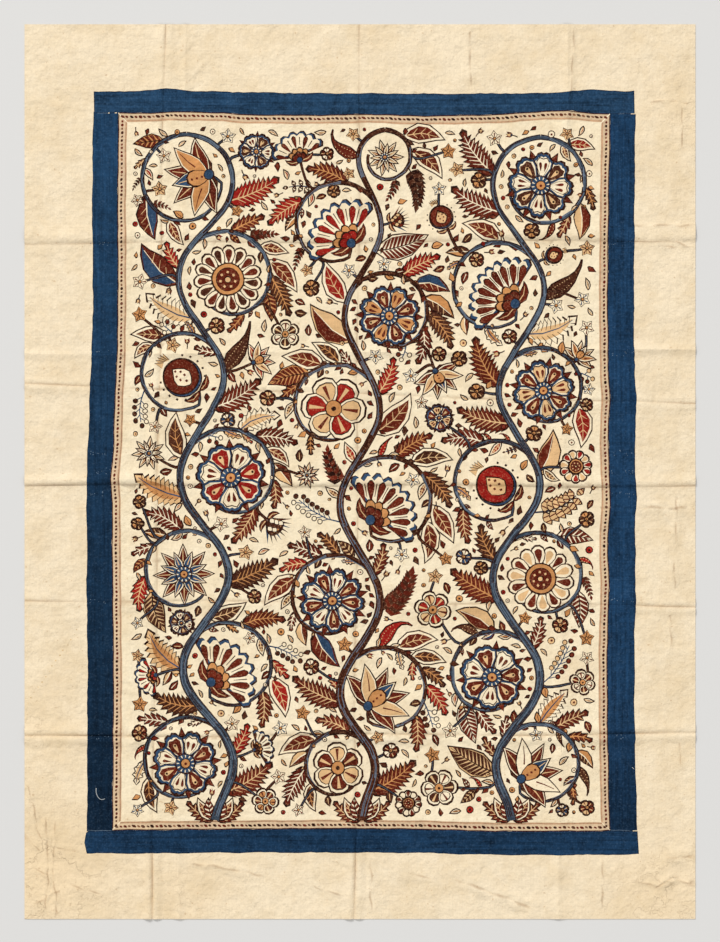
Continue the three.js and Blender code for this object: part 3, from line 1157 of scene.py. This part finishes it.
# Short creases from one place to another, with their reach and rise.
CREASE_COLUMNS = ("start", "end", "reach", "rise", "kind")
CREASES = [dict(zip(CREASE_COLUMNS, row)) for row in (
    (150 + 609j, 150 + 524j, 7, 1.0, "trough"),
    (293 + 609j, 286 + 500j, 6, 1.1, "ridge"),
    (-428 - 470j, -425 - 532j, 5, 1.3, "trough"),
    (-424 - 528j, -429 - 609j, 5, 1.3, "trough"),
    (-415 - 474j, -418 - 538j, 5, 1.2, "ridge"),
    (-418 - 545j, -412 - 609j, 5, 1.2, "trough"),
    (-451 - 430j, -437 - 497j, 5, 0.9, "trough"),
    (-457 - 497j, -438 - 516j, 5, 1.1, "ridge"),
    (-447 - 537j, -420 - 553j, 5, 1.0, "trough"),
    (-414 - 512j, -386 - 517j, 5, 1.0, "trough"),
    (-446 - 590j, -408 - 571j, 6, 1.0, "ridge"),
    (-396 - 562j, -350 - 578j, 6, 0.9, "trough"),
    (431 - 24j, 431 - 100j, 6, 1.1, "trough"),
    (428 - 120j, 428 - 161j, 6, 1.0, "trough"),
    (423 - 195j, 423 - 250j, 6, 1.1, "ridge"),
    (436 - 369j, 437 - 404j, 5, 0.9, "trough"),
    (439 + 500j, 439 + 439j, 5, 0.8, "trough"),
    (396 + 504j, 428 + 507j, 6, 1.0, "ridge"),
    (424 + 506j, 457 + 500j, 6, 1.4, "trough"),
    (391 + 311j, 428 + 305j, 5, 1.0, "trough"),
    (426 + 317j, 457 + 301j, 5, 1.1, "ridge"),
    (-430 + 499j, -404 + 499j, 5, 1.1, "trough"),
    (-388 - 50j, -370 - 50j, 5, 0.9, "trough"),
    (-232 - 534j, -178 - 541j, 7, 1.3, "ridge"),
    (-182 - 540j, -131 - 552j, 7, 1.1, "trough"),
    (-60 - 566j, -22 - 580j, 6, 0.9, "ridge"),
    (60 - 545j, 98 - 556j, 6, 0.9, "trough"),
    (127 - 555j, 243 - 597j, 9, 2.0, "trough"),
    (331 - 526j, 331 - 604j, 6, 0.9, "trough"),
    (368 - 556j, 407 - 566j, 7, 1.6, "ridge"),
    (403 - 566j, 428 - 553j, 6, 1.7, "trough"),
    (425 - 554j, 457 - 563j, 6, 1.5, "ridge"),
    (416 - 526j, 457 - 526j, 7, 1.4, "trough"),
    (15 - 521j, 15 - 609j, 6, 0.8, "trough"),
    (327 - 49j, 457 - 49j, 8, 1.2, "trough"),
    (340 + 334j, 457 + 336j, 8, 0.9, "ridge"),
)]

# How far apart the places are that a slope is taken from.
SLOPE_STEP = 0.35

# How wide painted shade and dirt lie along a main fold, and how dark they are in a short crease
# and on the back beside it.
CREASE_SHADE_WIDTH = 1.1
SHORT_CREASE_SHADE = 0.85
BACK_CREASE_SHADE = 0.4

# Where age shows most: the middle of each patch, how far round it, and how much.
AGED = (
    (-425 - 545j, 100, 1.0), (-440 - 340j, 60, 0.5), (410 - 575j, 80, 0.7), (440 + 490j, 50, 0.4),
    (-230 - 575j, 60, 0.5),
)

# Where the mesh bends beside a fold's line: close by it, in millimetres, and on its shoulders, as
# shares of the fold's reach; and beside a crease's line.
BESIDE_LINE = 1.3
SHOULDERS = (0.3, 0.6, 1.0)
BACK_SHOULDERS = (0.4, 1.0)
CREASE_SHOULDERS = (-1, -0.35, 0, 0.35, 1)


def section(kind, across):
    """The height of a fold as a share of its rise, at shares of its reach across it."""
    away = abs(across).clip(0, 1)
    hump = np.sin(math.pi * away**0.7)
    if kind == "ridge":
        return (1 - away) ** 1.6
    if kind == "trough":
        return hump * np.where(across < 0, 1, 0.8)
    return np.where(across > 0, hump, 0.12 * (1 - away) ** 2)


def fold_line(fold, share, length):
    """Where the line of a fold is at shares of its way across the cloth."""
    line = fold["start"] + (fold["end"] - fold["start"]) * share
    return line + STRAY * np.sin(TAU * (share * length + fold["start"]) / STRAY_LENGTH)


def across_folds(at):
    """Each fold with how far off its line each place is, how far along it, and that as a share."""
    for folds, across, run, length in (
        (UPRIGHT_FOLDS, at.real, at.imag, CLOTH_LENGTH),
        (LEVEL_FOLDS, at.imag, at.real, CLOTH_WIDTH),
    ):
        share = run / length + 0.5
        for fold in folds:
            yield fold, across - fold_line(fold, share, length), share * length, share


def fold_height(fold, aside, along, share):
    swell = 1 + SWELL * np.sin(TAU * (along + fold["start"]) / SWELL_LENGTH)
    left = fold["start_rise"] + (fold["end_rise"] - fold["start_rise"]) * share
    return fold["rise"] * left * swell * section(fold["kind"], aside / fold["reach"])


def crease_stray(along):
    """How far to the right of straight a crease runs, so far along it."""
    return 1.1 * np.sin(along / 7.0) + 0.7 * np.sin(along / 3.1 + 1)


def across_crease(crease, at):
    """How far off a crease's line each place is, how far along it, and that as a share."""
    run = crease["end"] - crease["start"]
    place = (at - crease["start"]) / (run / abs(run))
    return place.imag + crease_stray(place.real), place.real, place.real / abs(run)


def crease_height(crease, at):
    aside, along, share = across_crease(crease, at)
    fade = np.clip(5 * np.minimum(share, 1 - share) + 0.15, 0, 1)
    fade = fade * (1.05 + 0.35 * np.sin(along / 11 + crease["start"].imag))
    fade = np.where((share > -0.03) & (share < 1.03), fade, 0)
    return crease["rise"] * fade * section(crease["kind"], aside / crease["reach"])


def lift(at, creases=CREASES):
    """Height of the underside of the cloth over the surface at each place."""
    height = sum(fold_height(*place) for place in across_folds(at))
    height = height + sum(crease_height(crease, at) for crease in creases)
    # The cloth lies a hair's breadth off the surface in wide, shallow swells.
    swells = np.sin(at.real / 37 + 1.3 * np.sin(at.imag / 61)) * np.sin(at.imag / 43 + at.real / 97)
    return height + 0.12 * (1 + swells)


def normals_at(at, creases=CREASES):
    """Upward normals of the cloth, from its slope."""
    right, up = (
        (lift(at + way, creases) - lift(at - way, creases)) / (2 * SLOPE_STEP)
        for way in (SLOPE_STEP, SLOPE_STEP * 1j)
    )
    normal = np.stack([-right, -up, np.ones(len(at))], 1)
    return normal / np.linalg.norm(normal, axis=1)[:, None]


def shade_and_dirt_in_creases(at, creases=CREASES):
    """How dark painted shade and dirt make the bottom of a crease, and how pale a painted highlight
    and rubbing make a ridge.
    """
    dark = np.zeros(len(at))
    for fold, aside, along, _ in across_folds(at):
        # Ridges get a painted highlight, partly rubbing; troughs and steps get painted shade,
        # partly dirt.
        share = -0.35 if fold["kind"] == "ridge" else 1.0
        faded = 0.6 + 0.4 * np.sin(along / 23 + fold["start"])
        dark += share * np.exp(-(aside / CREASE_SHADE_WIDTH) ** 2) * faded
    for crease in creases:
        aside, along, share = across_crease(crease, at)
        broken = np.clip(0.55 + 0.9 * np.sin(along / 5.3 + crease["start"].real), 0, 1)
        dark += SHORT_CREASE_SHADE * np.exp(-aside**2) * broken * ((share > 0) & (share < 1))
    return dark


def ageing(at):
    """How far age has yellowed and crazed the cloth at each place."""
    return sum(share * np.exp(-abs((at - middle) / reach) ** 2) for middle, reach, share in AGED)


def in_field(places):
    return (abs(places.real) < 325) & (abs(places.imag) < 480)


def fold_lines(spacing, inset, beside, shoulders, creases=CREASES):
    """Lines of places along every fold, so that the mesh bends where the cloth does: its own line,
    those so many millimetres beside it, and those at shares of its reach. They end by so much
    inside the rim. The second result says which are a fold's own."""
    lines, own = [], []
    for folds, length, upright in (
        (UPRIGHT_FOLDS, CLOTH_LENGTH, True), (LEVEL_FOLDS, CLOTH_WIDTH, False),
    ):
        share = np.linspace(0, 1, round(length / spacing) + 1)
        share = share.clip(inset / length, 1 - inset / length)
        run = (share - 0.5) * length
        for fold in folds:
            line = fold_line(fold, share, length)
            offsets = [*beside, *(shoulder * fold["reach"] for shoulder in shoulders)]
            for offset in [0, *offsets, *(-offset for offset in offsets)]:
                across = line + offset
                lines.append(across + 1j * run if upright else run + 1j * across)
                own.append(offset == 0)
    rim = CLOTH_WIDTH / 2 - max(inset, 1), CLOTH_LENGTH / 2 - max(inset, 1)
    for crease in creases:
        run = crease["end"] - crease["start"]
        along = np.linspace(0, abs(run), max(3, round(abs(run) / 9)))
        for share in CREASE_SHOULDERS:
            aside = share * crease["reach"] - crease_stray(along)
            line = crease["start"] + run / abs(run) * (along + 1j * aside)
            line = line[(abs(line.real) < rim[0]) & (abs(line.imag) < rim[1])]
            if len(line) > 1:
                lines.append(line)
                own.append(True)
    return lines, own


def fold_places(spacing, inset):
    """The lines of the folds, without the stretches of their shoulders that cross the printed
    field. There only places on them are given, since lines would cut up the print."""
    lines, loose = [], []
    for line, own in zip(*fold_lines(spacing, inset, (BESIDE_LINE,), SHOULDERS)):
        if own:
            lines.append(line)
            continue
        inside = in_field(line)
        cuts = np.flatnonzero(inside[1:] != inside[:-1]) + 1
        for part in np.split(line, cuts):
            if in_field(part)[0]:
                loose.append(resampled(part, SHOULDER_STEP))
            elif len(part) > 1:
                lines.append(part)
    return lines, joined(loose)


# The mesh

# The steps between places along the rim, in the plain stretches, along the shoulders of folds in
# the field, and on the back; and along the folds' lines on either side.
RIM_STEP = 8.0
PLAIN_STEP = 14.0
SHOULDER_STEP = 10.0
BACK_STEP = 32.0
FOLD_STEP = 22
BACK_FOLD_STEP = 50

# How far from the rim the back's folds end, how far from it the back has sunk as low as it goes,
# and by what share of the folds' height.
BACK_INSET = 3
BACK_DROP_REACH = 20
BACK_DROP = 0.7

# An outline's places that stand off its line by less than this are left out.
LEAST_BEND = 0.1

# Where the field's pale ground ends, under the indigo band.
GROUND = np.array([-352 - 504j, 358 - 504j, 358 + 502j, -350 + 502j])

# Share of the baked map's height that the face of the cloth takes up, and the gap beside it.
FACE_SHARE = 0.86
MAP_GAP = 0.012


def drift(at):
    """How far the pen strays at each place, the same way for all that is drawn there."""
    x, y = at.real, at.imag
    wide = np.sin(x / 9.1 + 1.7 * np.sin(y / 13.3)) + 1j * np.sin(y / 8.3 + 1.9 * np.sin(x / 11.7))
    close = np.sin(x / 2.3 + y / 3.1) + 1j * np.sin(y / 2.1 - x / 2.9)
    return 0.38 * wide + 0.13 * close


def drawn(drawing, least, register):
    """A drawing as the hand and the blocks left it."""
    return [
        (dye, spared(outline + drift(outline) + register.get(dye, 0), least))
        for dye, outline in drawing
    ]


def rim_places():
    half = CLOTH_WIDTH / 2 + 1j * CLOTH_LENGTH / 2
    corners = [-half, np.conj(half), half, -np.conj(half)]
    sides = []
    for a, b in zip(corners, corners[1:] + corners[:1]):
        steps = round(abs(b - a) / RIM_STEP)
        sides.append(a + (b - a) * np.arange(steps) / steps)
    return joined(sides)


def plain_places(step):
    """A staggered net of places over the cloth, a little in from its rim."""
    across = np.arange(-CLOTH_WIDTH / 2 + step / 2, CLOTH_WIDTH / 2 - step / 2, step)
    up = np.arange(-CLOTH_LENGTH / 2 + step / 2, CLOTH_LENGTH / 2 - step / 4, step)
    grid = across[None] + 1j * up[:, None]
    return (grid + 0.3 * step * (np.arange(len(up)) % 2)[:, None]).ravel()


def triangulate(rim, lines, loose, pieces):
    """Triangles over the rim that have every line, and every piece from one place to another,
    among their edges."""
    count = len(rim)
    places = [rim]
    edges = [(k, (k + 1) % count) for k in range(count)]
    for line in lines:
        places.append(line)
        edges += [(count + k, count + k + 1) for k in range(len(line) - 1)]
        count += len(line)
    ends, numbers = np.unique(np.round(pieces, 3), return_inverse=True)
    edges += (numbers.reshape(-1, 2) + count).tolist()
    at = joined([*places, ends, loose])
    made = delaunay_2d_cdt([Vector((z.real, z.imag)) for z in at], edges, [], 0, 1e-3, False)
    return np.array([complex(*place) for place in made[0]]), np.array(made[2])


def turns_round(outline, at):
    """How many times the outline goes round each place."""
    a, b = outline[:, None], np.roll(outline, -1)[:, None]
    rises = (a.imag <= at.imag) & (b.imag > at.imag)
    falls = (a.imag > at.imag) & (b.imag <= at.imag)
    left = ((b - a) * np.conj(at - a)).imag < 0
    return (rises & left).sum(0) - (falls & ~left).sum(0)


def covered_spans(outline, start, run):
    """For each line from start along run that the outline covers, its number and the stretches of
    it that are covered, as shares of its length."""
    edge = (np.roll(outline, -1) - outline)[:, None]
    toward = outline[:, None] - start
    cross = (np.conj(run) * edge).imag
    safe = np.where(cross == 0, 1, cross)
    along = (np.conj(toward) * edge).imag / safe
    beside = (np.conj(toward) * run).imag / safe
    meets = (cross != 0) & (along > 0) & (along < 1) & (beside >= 0) & (beside < 1)
    turns = turns_round(outline, start)
    for j in np.flatnonzero((turns != 0) | meets.any(0)):
        spans = []
        inside, last_place = turns[j], 0.0
        hits = np.flatnonzero(meets[:, j])
        for place, way in sorted(zip(along[hits, j], cross[hits, j])):
            if inside:
                spans.append((last_place, place))
            inside += -1 if way > 0 else 1
            last_place = place
        if inside:
            spans.append((last_place, 1.0))
        yield j, spans


def seen_pieces(drawing):
    """The stretches of a drawing's outlines that no later outline covers, as rows of two ends."""
    outlines = [outline for _, outline in drawing]
    start = joined(outlines)
    end = joined([np.roll(outline, -1) for outline in outlines])
    owner = np.repeat(np.arange(len(outlines)), [len(outline) for outline in outlines])
    covered = [[] for _ in start]
    left, right = np.minimum(start.real, end.real), np.maximum(start.real, end.real)
    foot, top = np.minimum(start.imag, end.imag), np.maximum(start.imag, end.imag)
    order = np.argsort(left)
    from_left = left[order]
    widest = (right - left).max()
    for k, outline in enumerate(outlines):
        x, y = outline.real, outline.imag
        first, last = np.searchsorted(from_left, (x.min() - widest, x.max()))
        near = order[first:last]
        near = near[(owner[near] < k) & (right[near] > x.min())]
        near = near[(foot[near] < y.max()) & (top[near] > y.min())]
        if len(near):
            for j, spans in covered_spans(outline, start[near], end[near] - start[near]):
                covered[near[j]].extend(spans)
    pieces = []
    for a, b, spans in zip(start.tolist(), end.tolist(), covered):
        place = 0.0
        least = 0.02 / max(abs(b - a), 1e-6)
        for span in sorted(spans) + [(1.0, 1.0)]:
            if span[0] > place + least:
                pieces.append((a + (b - a) * place, a + (b - a) * span[0]))
            place = max(place, span[1])
    return np.array(pieces)


def dye_faces(middles, drawing, base):
    """The dye and the strength of each face, from the last shape that holds its middle."""
    dye = np.full(len(middles), DYE_ORDER.index(base))
    strength = np.zeros(len(middles))
    order = np.argsort(middles.real)
    right = middles.real[order]
    for name, outline in drawing:
        first, last = np.searchsorted(right, (outline.real.min(), outline.real.max()))
        near = order[first:last]
        up = middles.imag[near]
        near = near[(up > outline.imag.min()) & (up < outline.imag.max())]
        inside = near[turns_round(outline, middles[near]) != 0]
        dye[inside] = DYE_ORDER.index(name)
        strength[inside] = math.sin(12.9898 * outline[0].real + 78.233 * outline[0].imag)
    return dye, strength


def make_face():
    """The places and triangles of the face, and the dye and its strength on each triangle."""
    drawing = [("ground", GROUND), *drawn(shapes, LEAST_BEND, REGISTER)]
    pieces = seen_pieces(drawing)
    # A stretch with the same dye on both sides bounds nothing.
    run = pieces[:, 1] - pieces[:, 0]
    beside = 0.03j * run / abs(run)
    dyes = [dye_faces(pieces.mean(1) + side * beside, drawing, "cloth")[0] for side in (-1, 1)]
    pieces = pieces[dyes[0] != dyes[1]]
    lines, shoulders = fold_places(FOLD_STEP, 0)
    plain = plain_places(PLAIN_STEP)
    loose = joined([plain[~in_field(plain)], shoulders])
    face, triangles = triangulate(rim_places(), lines, loose, pieces)
    return face, triangles, *dye_faces(face[triangles].mean(1), drawing, "cloth")


def make_back(rim):
    """The places, triangles and dyes of the back, with the main folds and what has seeped
    through."""
    strokes = [("seeped_indigo", joined([lower, upper[::-1]])) for lower, upper in BAND.values()]
    drawing = strokes + drawn(seeped, 3 * LEAST_BEND, {})
    lines = fold_lines(BACK_FOLD_STEP, BACK_INSET, (), BACK_SHOULDERS, ())[0]
    back, triangles = triangulate(rim, lines, plain_places(BACK_STEP), seen_pieces(drawing))
    return back, triangles, dye_faces(back[triangles].mean(1), drawing, "back")[0]


def make_cloth():
    """One closed sheet: the dyed face, the back and the thin rim between."""
    face, face_tris, face_dye, face_strength = make_face()

    # The face's rim, all the way round, is also the back's.
    half_width, half_length = CLOTH_WIDTH / 2, CLOTH_LENGTH / 2
    off_sides, off_ends = half_width - abs(face.real), half_length - abs(face.imag)
    on_rim = np.flatnonzero((off_sides < 1e-3) | (off_ends < 1e-3))
    squared = face[on_rim].real / half_width + 1j * face[on_rim].imag / half_length
    rim = on_rim[np.argsort(np.angle(squared))]
    back, back_tris, back_dye = make_back(face[rim])

    # Away from the rim the coarser back keeps a little lower, so that it never cuts the face.
    inside = np.minimum(half_width - abs(back.real), half_length - abs(back.imag))
    under = np.where(inside > 1, lift(back, ()), lift(back))
    under = under * (1 - BACK_DROP * np.clip(inside / BACK_DROP_REACH, 0, 1))
    places = joined([face, back])
    height = joined([lift(face) + CLOTH_THICKNESS, under])
    co = np.stack([places.real, places.imag, height], 1) * MM
    count, turns = len(face), len(rim)
    walls = [
        (int(rim[k]), count + k, count + (k + 1) % turns, int(rim[(k + 1) % turns]))
        for k in range(turns)
    ]
    faces = face_tris.tolist() + (back_tris[:, ::-1] + count).tolist() + walls
    mesh = bpy.data.meshes.new("painted_cloth_sheet")
    mesh.from_pydata(co.tolist(), [], faces)

    dye = joined([face_dye, back_dye, np.full(turns, DYE_ORDER.index("back"))])
    mesh.polygons.foreach_set("material_index", dye.astype(np.int32))
    mesh.polygons.foreach_set("use_smooth", np.ones(len(faces), bool))
    for name, domain, values in (
        ("strength", "FACE", joined([face_strength, np.zeros(len(back_tris) + turns)])),
        # Painted shade and dirt along the creases, and a painted highlight on the ridges, on face
        # and back.
        ("crease_shade_and_dirt", "POINT", joined([shade_and_dirt_in_creases(face), BACK_CREASE_SHADE * shade_and_dirt_in_creases(back, ())])),
        ("aged", "POINT", ageing(places)),
    ):
        layer = mesh.attributes.new(name, "FLOAT", domain)
        layer.data.foreach_set("value", values.astype(np.float32))

    # Normals come from the slope of the cloth, so that slivers in the print don't show.
    corners = np.empty(len(mesh.loops), np.int32)
    mesh.loops.foreach_get("vertex_index", corners)
    corner_face = np.repeat(np.arange(len(faces)), [len(face_corners) for face_corners in faces])
    part = np.repeat([0, 1, 2], [len(face_tris), len(back_tris), turns])[corner_face]
    flat = np.empty(len(faces) * 3, np.float32)
    mesh.polygons.foreach_get("normal", flat)
    normal = joined([normals_at(face), normals_at(back, ())])[corners]
    normal[part == 1] *= -1
    normal[part == 2] = flat.reshape(-1, 3)[corner_face[part == 2]]
    mesh.normals_split_custom_set(normal.tolist())

    # The map that the finish is baked to has the face along most of it and the back beside it.
    layer = mesh.uv_layers.new(name="OFBake")
    u = places.imag[corners] / CLOTH_LENGTH + 0.5
    v = places.real[corners] / CLOTH_WIDTH + 0.5
    beside = FACE_SHARE + MAP_GAP
    v = np.where(part == 0, v * FACE_SHARE, beside + v * (1 - beside))
    layer.uv.foreach_set("vector", np.stack([u, v], 1).astype(np.float32).ravel())
    mesh.update()
    cloth = bpy.data.objects.new("painted_cloth_sheet", mesh)
    bpy.context.collection.objects.link(cloth)
    return cloth


# Materials

# Threads of the plain weave to a metre.
THREADS = 2300

# What bare cotton yellows and spots to, the brown of its crazing and of the painted shade and dirt
# in its creases, and what thinned dye lets through.
STAIN = (228, 202, 160)
SPOT = (196, 160, 118)
SOIL_AND_SHADE = (168, 126, 86)
AGED_COTTON = (238, 200, 142)
THINNED_BLUE = (112, 132, 150)
THINNED_RED = (196, 148, 112)

# The patterns in a dye and its cloth: how often each changes in a metre, its detail and roughness.
CLOUDS = (24, 5, 0.65)
BLOTS = (110, 4, 0.65)
GRAIN = (420, 2, 0.5)
SPECKS = (420, 3, 0.6)
CRACKS = (13, 5, 0.62)
YELLOWING = (13, 7, 0.74)
SPOTS = (210, 2, 0.4)
RUMPLES = (34, 7, 0.62)

# Streaks along the threads, and in long strokes: how often they change in a metre to the right, up
# and off the cloth; and the detail and roughness of both.
WARP_SCALE = (700, 14, 1)
WEFT_SCALE = (12, 650, 1)
THREAD_DETAIL = (2, 0.5)
BRUSH_DETAIL = (4, 0.65)

# Each relief in the cloth's finish, as the height of its bump in metres.
WEAVE_HEIGHT = 0.00008
CRAZE_HEIGHT = 0.0006
RUMPLE_HEIGHT = 0.0062


def linear(colour):
    """A 0 to 255 sRGB colour in the numbers that shaders use."""
    share = np.array(colour) / 255
    return (*np.where(share < 0.04045, share / 12.92, ((share + 0.055) / 1.055) ** 2.4), 1.0)


class Nodes:
    """Short calls for making and linking a material's nodes."""

    def __init__(self, tree):
        self.tree = tree

    def make(self, kind, inputs=None, **settings):
        node = self.tree.nodes.new(kind)
        for name, value in settings.items():
            setattr(node, name, value)
        for name, value in (inputs or {}).items():
            self.put(node.inputs[name], value)
        return node

    def put(self, socket, value):
        if isinstance(value, bpy.types.NodeSocket):
            self.tree.links.new(value, socket)
        else:
            socket.default_value = value

    def maths(self, operation, a, b=0.0, c=0.0):
        node = self.make("ShaderNodeMath", operation=operation)
        for socket, value in zip(node.inputs, (a, b, c)):
            self.put(socket, value)
        return node.outputs[0]

    def varied(self, base, pattern, share):
        """A number that a pattern about a half moves up and down."""
        return self.maths("MULTIPLY_ADD", self.maths("SUBTRACT", pattern, 0.5), share, base)

    def read(self, name):
        """A measure that the mesh carries."""
        return self.make("ShaderNodeAttribute", attribute_name=name).outputs["Fac"]

    def noise(self, place, scale, detail, rough):
        inputs = {"Vector": place, "Scale": scale, "Detail": detail, "Roughness": rough}
        return self.make("ShaderNodeTexNoise", inputs).outputs["Fac"]

    def streaks(self, place, scale, detail, rough):
        node = self.make("ShaderNodeVectorMath", operation="MULTIPLY")
        self.put(node.inputs[0], place)
        self.put(node.inputs[1], scale)
        return self.noise(node.outputs[0], 1, detail, rough)

    def ranged(self, value, low, high, to_low=0.0, to_high=0.0):
        names = ("Value", "From Min", "From Max", "To Min", "To Max")
        inputs = dict(zip(names, (value, low, high, to_low, to_high)))
        return self.make("ShaderNodeMapRange", inputs).outputs[0]

    def mixed(self, share, colour, other, blend="MIX"):
        mix = self.make("ShaderNodeMix", data_type="RGBA", blend_type=blend)
        for number, value in ((0, share), (6, colour), (7, other)):
            self.put(mix.inputs[number], value)
        return mix.outputs[2]

    def bump(self, height, distance, strength=1.0, invert=False, **inputs):
        inputs = {"Height": height, "Strength": strength, "Distance": distance, **inputs}
        return self.make("ShaderNodeBump", inputs, invert=invert).outputs[0]


def toned(n, place, up, grain, crease_shade_and_dirt, name, uneven):
    """How strong the dye is: cloudy, streaked along the threads, brushed, darker with painted shade
    and dirt in the creases, and paler with a painted highlight on the ridges.
    """
    bare = uneven < BARE
    tone = n.varied(1.0, n.noise(place, *CLOUDS), (2.0 if bare else 3.0) * uneven)
    tone = n.varied(tone, n.noise(place, *BLOTS), 3.0 * uneven)
    tone = n.varied(tone, grain, 1.8 * uneven + (0.14 if bare else 0.06))
    for scale in (WARP_SCALE, WEFT_SCALE):
        tone = n.varied(tone, n.streaks(place, scale, *THREAD_DETAIL), 1.2 * uneven + 0.06)
    tone = n.maths("MULTIPLY_ADD", n.read("strength"), 0.35 * uneven, tone)
    scale, deepens = STROKES.get(name, (None, None))
    if scale:
        tone = n.varied(tone, n.streaks(place, scale, *BRUSH_DETAIL), 1.7)
    # Painted shade and dirt darken the creases and a painted highlight pales the ridges, most on
    # the long strokes.
    tone = n.maths("MULTIPLY_ADD", crease_shade_and_dirt, -0.42 if scale else -0.08, tone)
    if deepens:
        start, end, share = deepens
        tone = n.maths("MULTIPLY", tone, n.ranged(up, end, start, share, 1.0))
    return n.make("ShaderNodeCombineColor", {"Red": tone, "Green": tone, "Blue": tone}).outputs[0]


def dyed_cotton(name, colour, uneven):
    """Plain-woven matt cotton with a dye soaked into it."""
    material = bpy.data.materials.new(f"cotton_{name}")
    material.use_nodes = True
    n = Nodes(material.node_tree)
    place = n.make("ShaderNodeTexCoord").outputs["Object"]
    right, up, _ = n.make("ShaderNodeSeparateXYZ", {"Vector": place}).outputs
    grain = n.noise(place, *GRAIN)
    # Painted shade and dirt along the creases, and a painted highlight on the ridges.
    crease_shade_and_dirt = n.read("crease_shade_and_dirt")
    tone = toned(n, place, up, grain, crease_shade_and_dirt, name, uneven)
    shown = n.mixed(1.0, linear(colour), tone, "MULTIPLY")
    weft, warp = (
        n.maths("SINE", n.maths("MULTIPLY", way, THREADS * math.pi)) for way in (right, up)
    )
    bump = n.bump(n.maths("MULTIPLY", weft, warp), WEAVE_HEIGHT, strength=0.35)
    if uneven < BARE:
        # Age has yellowed bare cotton in clouds, left small spots and crazed it where it is worst.
        aged = n.read("aged")
        off_middle = n.maths("ABSOLUTE", n.maths("SUBTRACT", n.noise(place, *CRACKS), 0.5))
        crazed = n.maths("MULTIPLY", n.ranged(off_middle, 0.0, 0.011, 1.0), aged)
        for share, tint in (
            (n.ranged(aged, 0.0, 1.0, 0.0, 0.34), AGED_COTTON),
            (n.ranged(crazed, 0.0, 1.0, 0.0, 0.2), SOIL_AND_SHADE),
            (n.ranged(n.noise(place, *YELLOWING), 0.42, 0.68, 0.0, 0.6), STAIN),
            (n.ranged(n.noise(place, *SPOTS), 0.69, 0.77, 0.0, 0.5), SPOT),
            # Painted shade and dirt brown the cotton along the creases.
            (n.ranged(crease_shade_and_dirt, 0.0, 1.0, 0.0, 0.5), SOIL_AND_SHADE),
        ):
            shown = n.mixed(share, shown, linear(tint))
        bump = n.bump(crazed, CRAZE_HEIGHT, invert=True, Normal=bump)
    else:
        # Washing has thinned the dye in specks.
        most = 0.12 if name in STROKES else 0.4
        thinned = n.ranged(n.noise(place, *SPECKS), 0.54, 0.72, 0.0, most)
        tint = THINNED_BLUE if colour[2] > colour[0] else THINNED_RED
        shown = n.mixed(thinned, shown, linear(tint))
    shader = n.tree.nodes["Principled BSDF"]
    for socket, value in (
        ("Base Color", shown),
        ("Roughness", n.ranged(grain, 0.3, 0.7, 0.86, 0.97)),
        ("Normal", n.bump(n.noise(place, *RUMPLES), RUMPLE_HEIGHT, Normal=bump)),
        ("Specular IOR Level", 0.05),
        ("Sheen Weight", 0.015),
        ("Sheen Roughness", 0.5),
    ):
        n.put(shader.inputs[socket], value)
    return material


# The stage

# The share of the picture's height that the cloth fills, and how far below the picture's middle it
# lies, in metres.
CLOTH_IN_FRAME = 894.5 / 942
CLOTH_LOWER = 0.0009
CAMERA_HEIGHT = 5.0
SENSOR = 36.0

FLOOR_REACH = 12.0
FLOOR_COLOUR = (0.72, 0.71, 0.69, 1)

# Where each square light stands, its size and its power.
LIGHTS = {
    "key": ((-6.2, 12.2, 10.4), 5.2, 1890),
    "fill": ((1.4, -3.2, 4.6), 3.0, 46),
}
SKY_STRENGTH = 0.555


def stand(name, data, at):
    """An object for some data, in the scene."""
    thing = bpy.data.objects.new(name, data)
    thing.location = at
    bpy.context.collection.objects.link(thing)
    return thing


def make_camera():
    camera = bpy.data.cameras.new("camera")
    camera.sensor_fit = "VERTICAL"
    camera.sensor_height = SENSOR
    camera.lens = SENSOR * CAMERA_HEIGHT / (CLOTH_LENGTH * MM / CLOTH_IN_FRAME)
    camera.clip_end = 10 * CAMERA_HEIGHT
    bpy.context.scene.camera = stand("camera", camera, (0, CLOTH_LOWER, CAMERA_HEIGHT))


def make_floor():
    floor = bpy.data.meshes.new("floor")
    ways = (-1, -1), (1, -1), (1, 1), (-1, 1)
    floor.from_pydata([(x * FLOOR_REACH, y * FLOOR_REACH, 0) for x, y in ways], [], [(0, 1, 2, 3)])
    paint = bpy.data.materials.new("floor")
    paint.use_nodes = True
    shader = paint.node_tree.nodes["Principled BSDF"]
    shader.inputs["Base Color"].default_value = FLOOR_COLOUR
    shader.inputs["Roughness"].default_value = 0.9
    floor.materials.append(paint)
    return stand("floor", floor, (0, 0, 0))


def make_lights():
    for name, (at, size, power) in LIGHTS.items():
        lamp = bpy.data.lights.new(name, "AREA")
        lamp.shape = "SQUARE"
        lamp.size = size
        lamp.energy = power
        light = stand(name, lamp, at)
        light.rotation_euler = (-Vector(at)).to_track_quat("-Z", "Y").to_euler()
    world = bpy.data.worlds.new("studio")
    world.use_nodes = True
    sky = world.node_tree.nodes["Background"]
    sky.inputs["Color"].default_value = (1, 1, 1, 1)
    sky.inputs["Strength"].default_value = SKY_STRENGTH
    bpy.context.scene.world = world
    bpy.context.scene.view_settings.view_transform = "Standard"


# What is painted, in order.
paint_band()
print_rope()
spot_margins()
print_vines()
fill_gaps()

cloth = make_cloth()
for name, (colour, uneven) in DYES.items():
    cloth.data.materials.append(dyed_cotton(name, colour, uneven))
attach(cloth, "root")
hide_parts("painted_cloth")

make_camera()
board = make_floor()
make_lights()
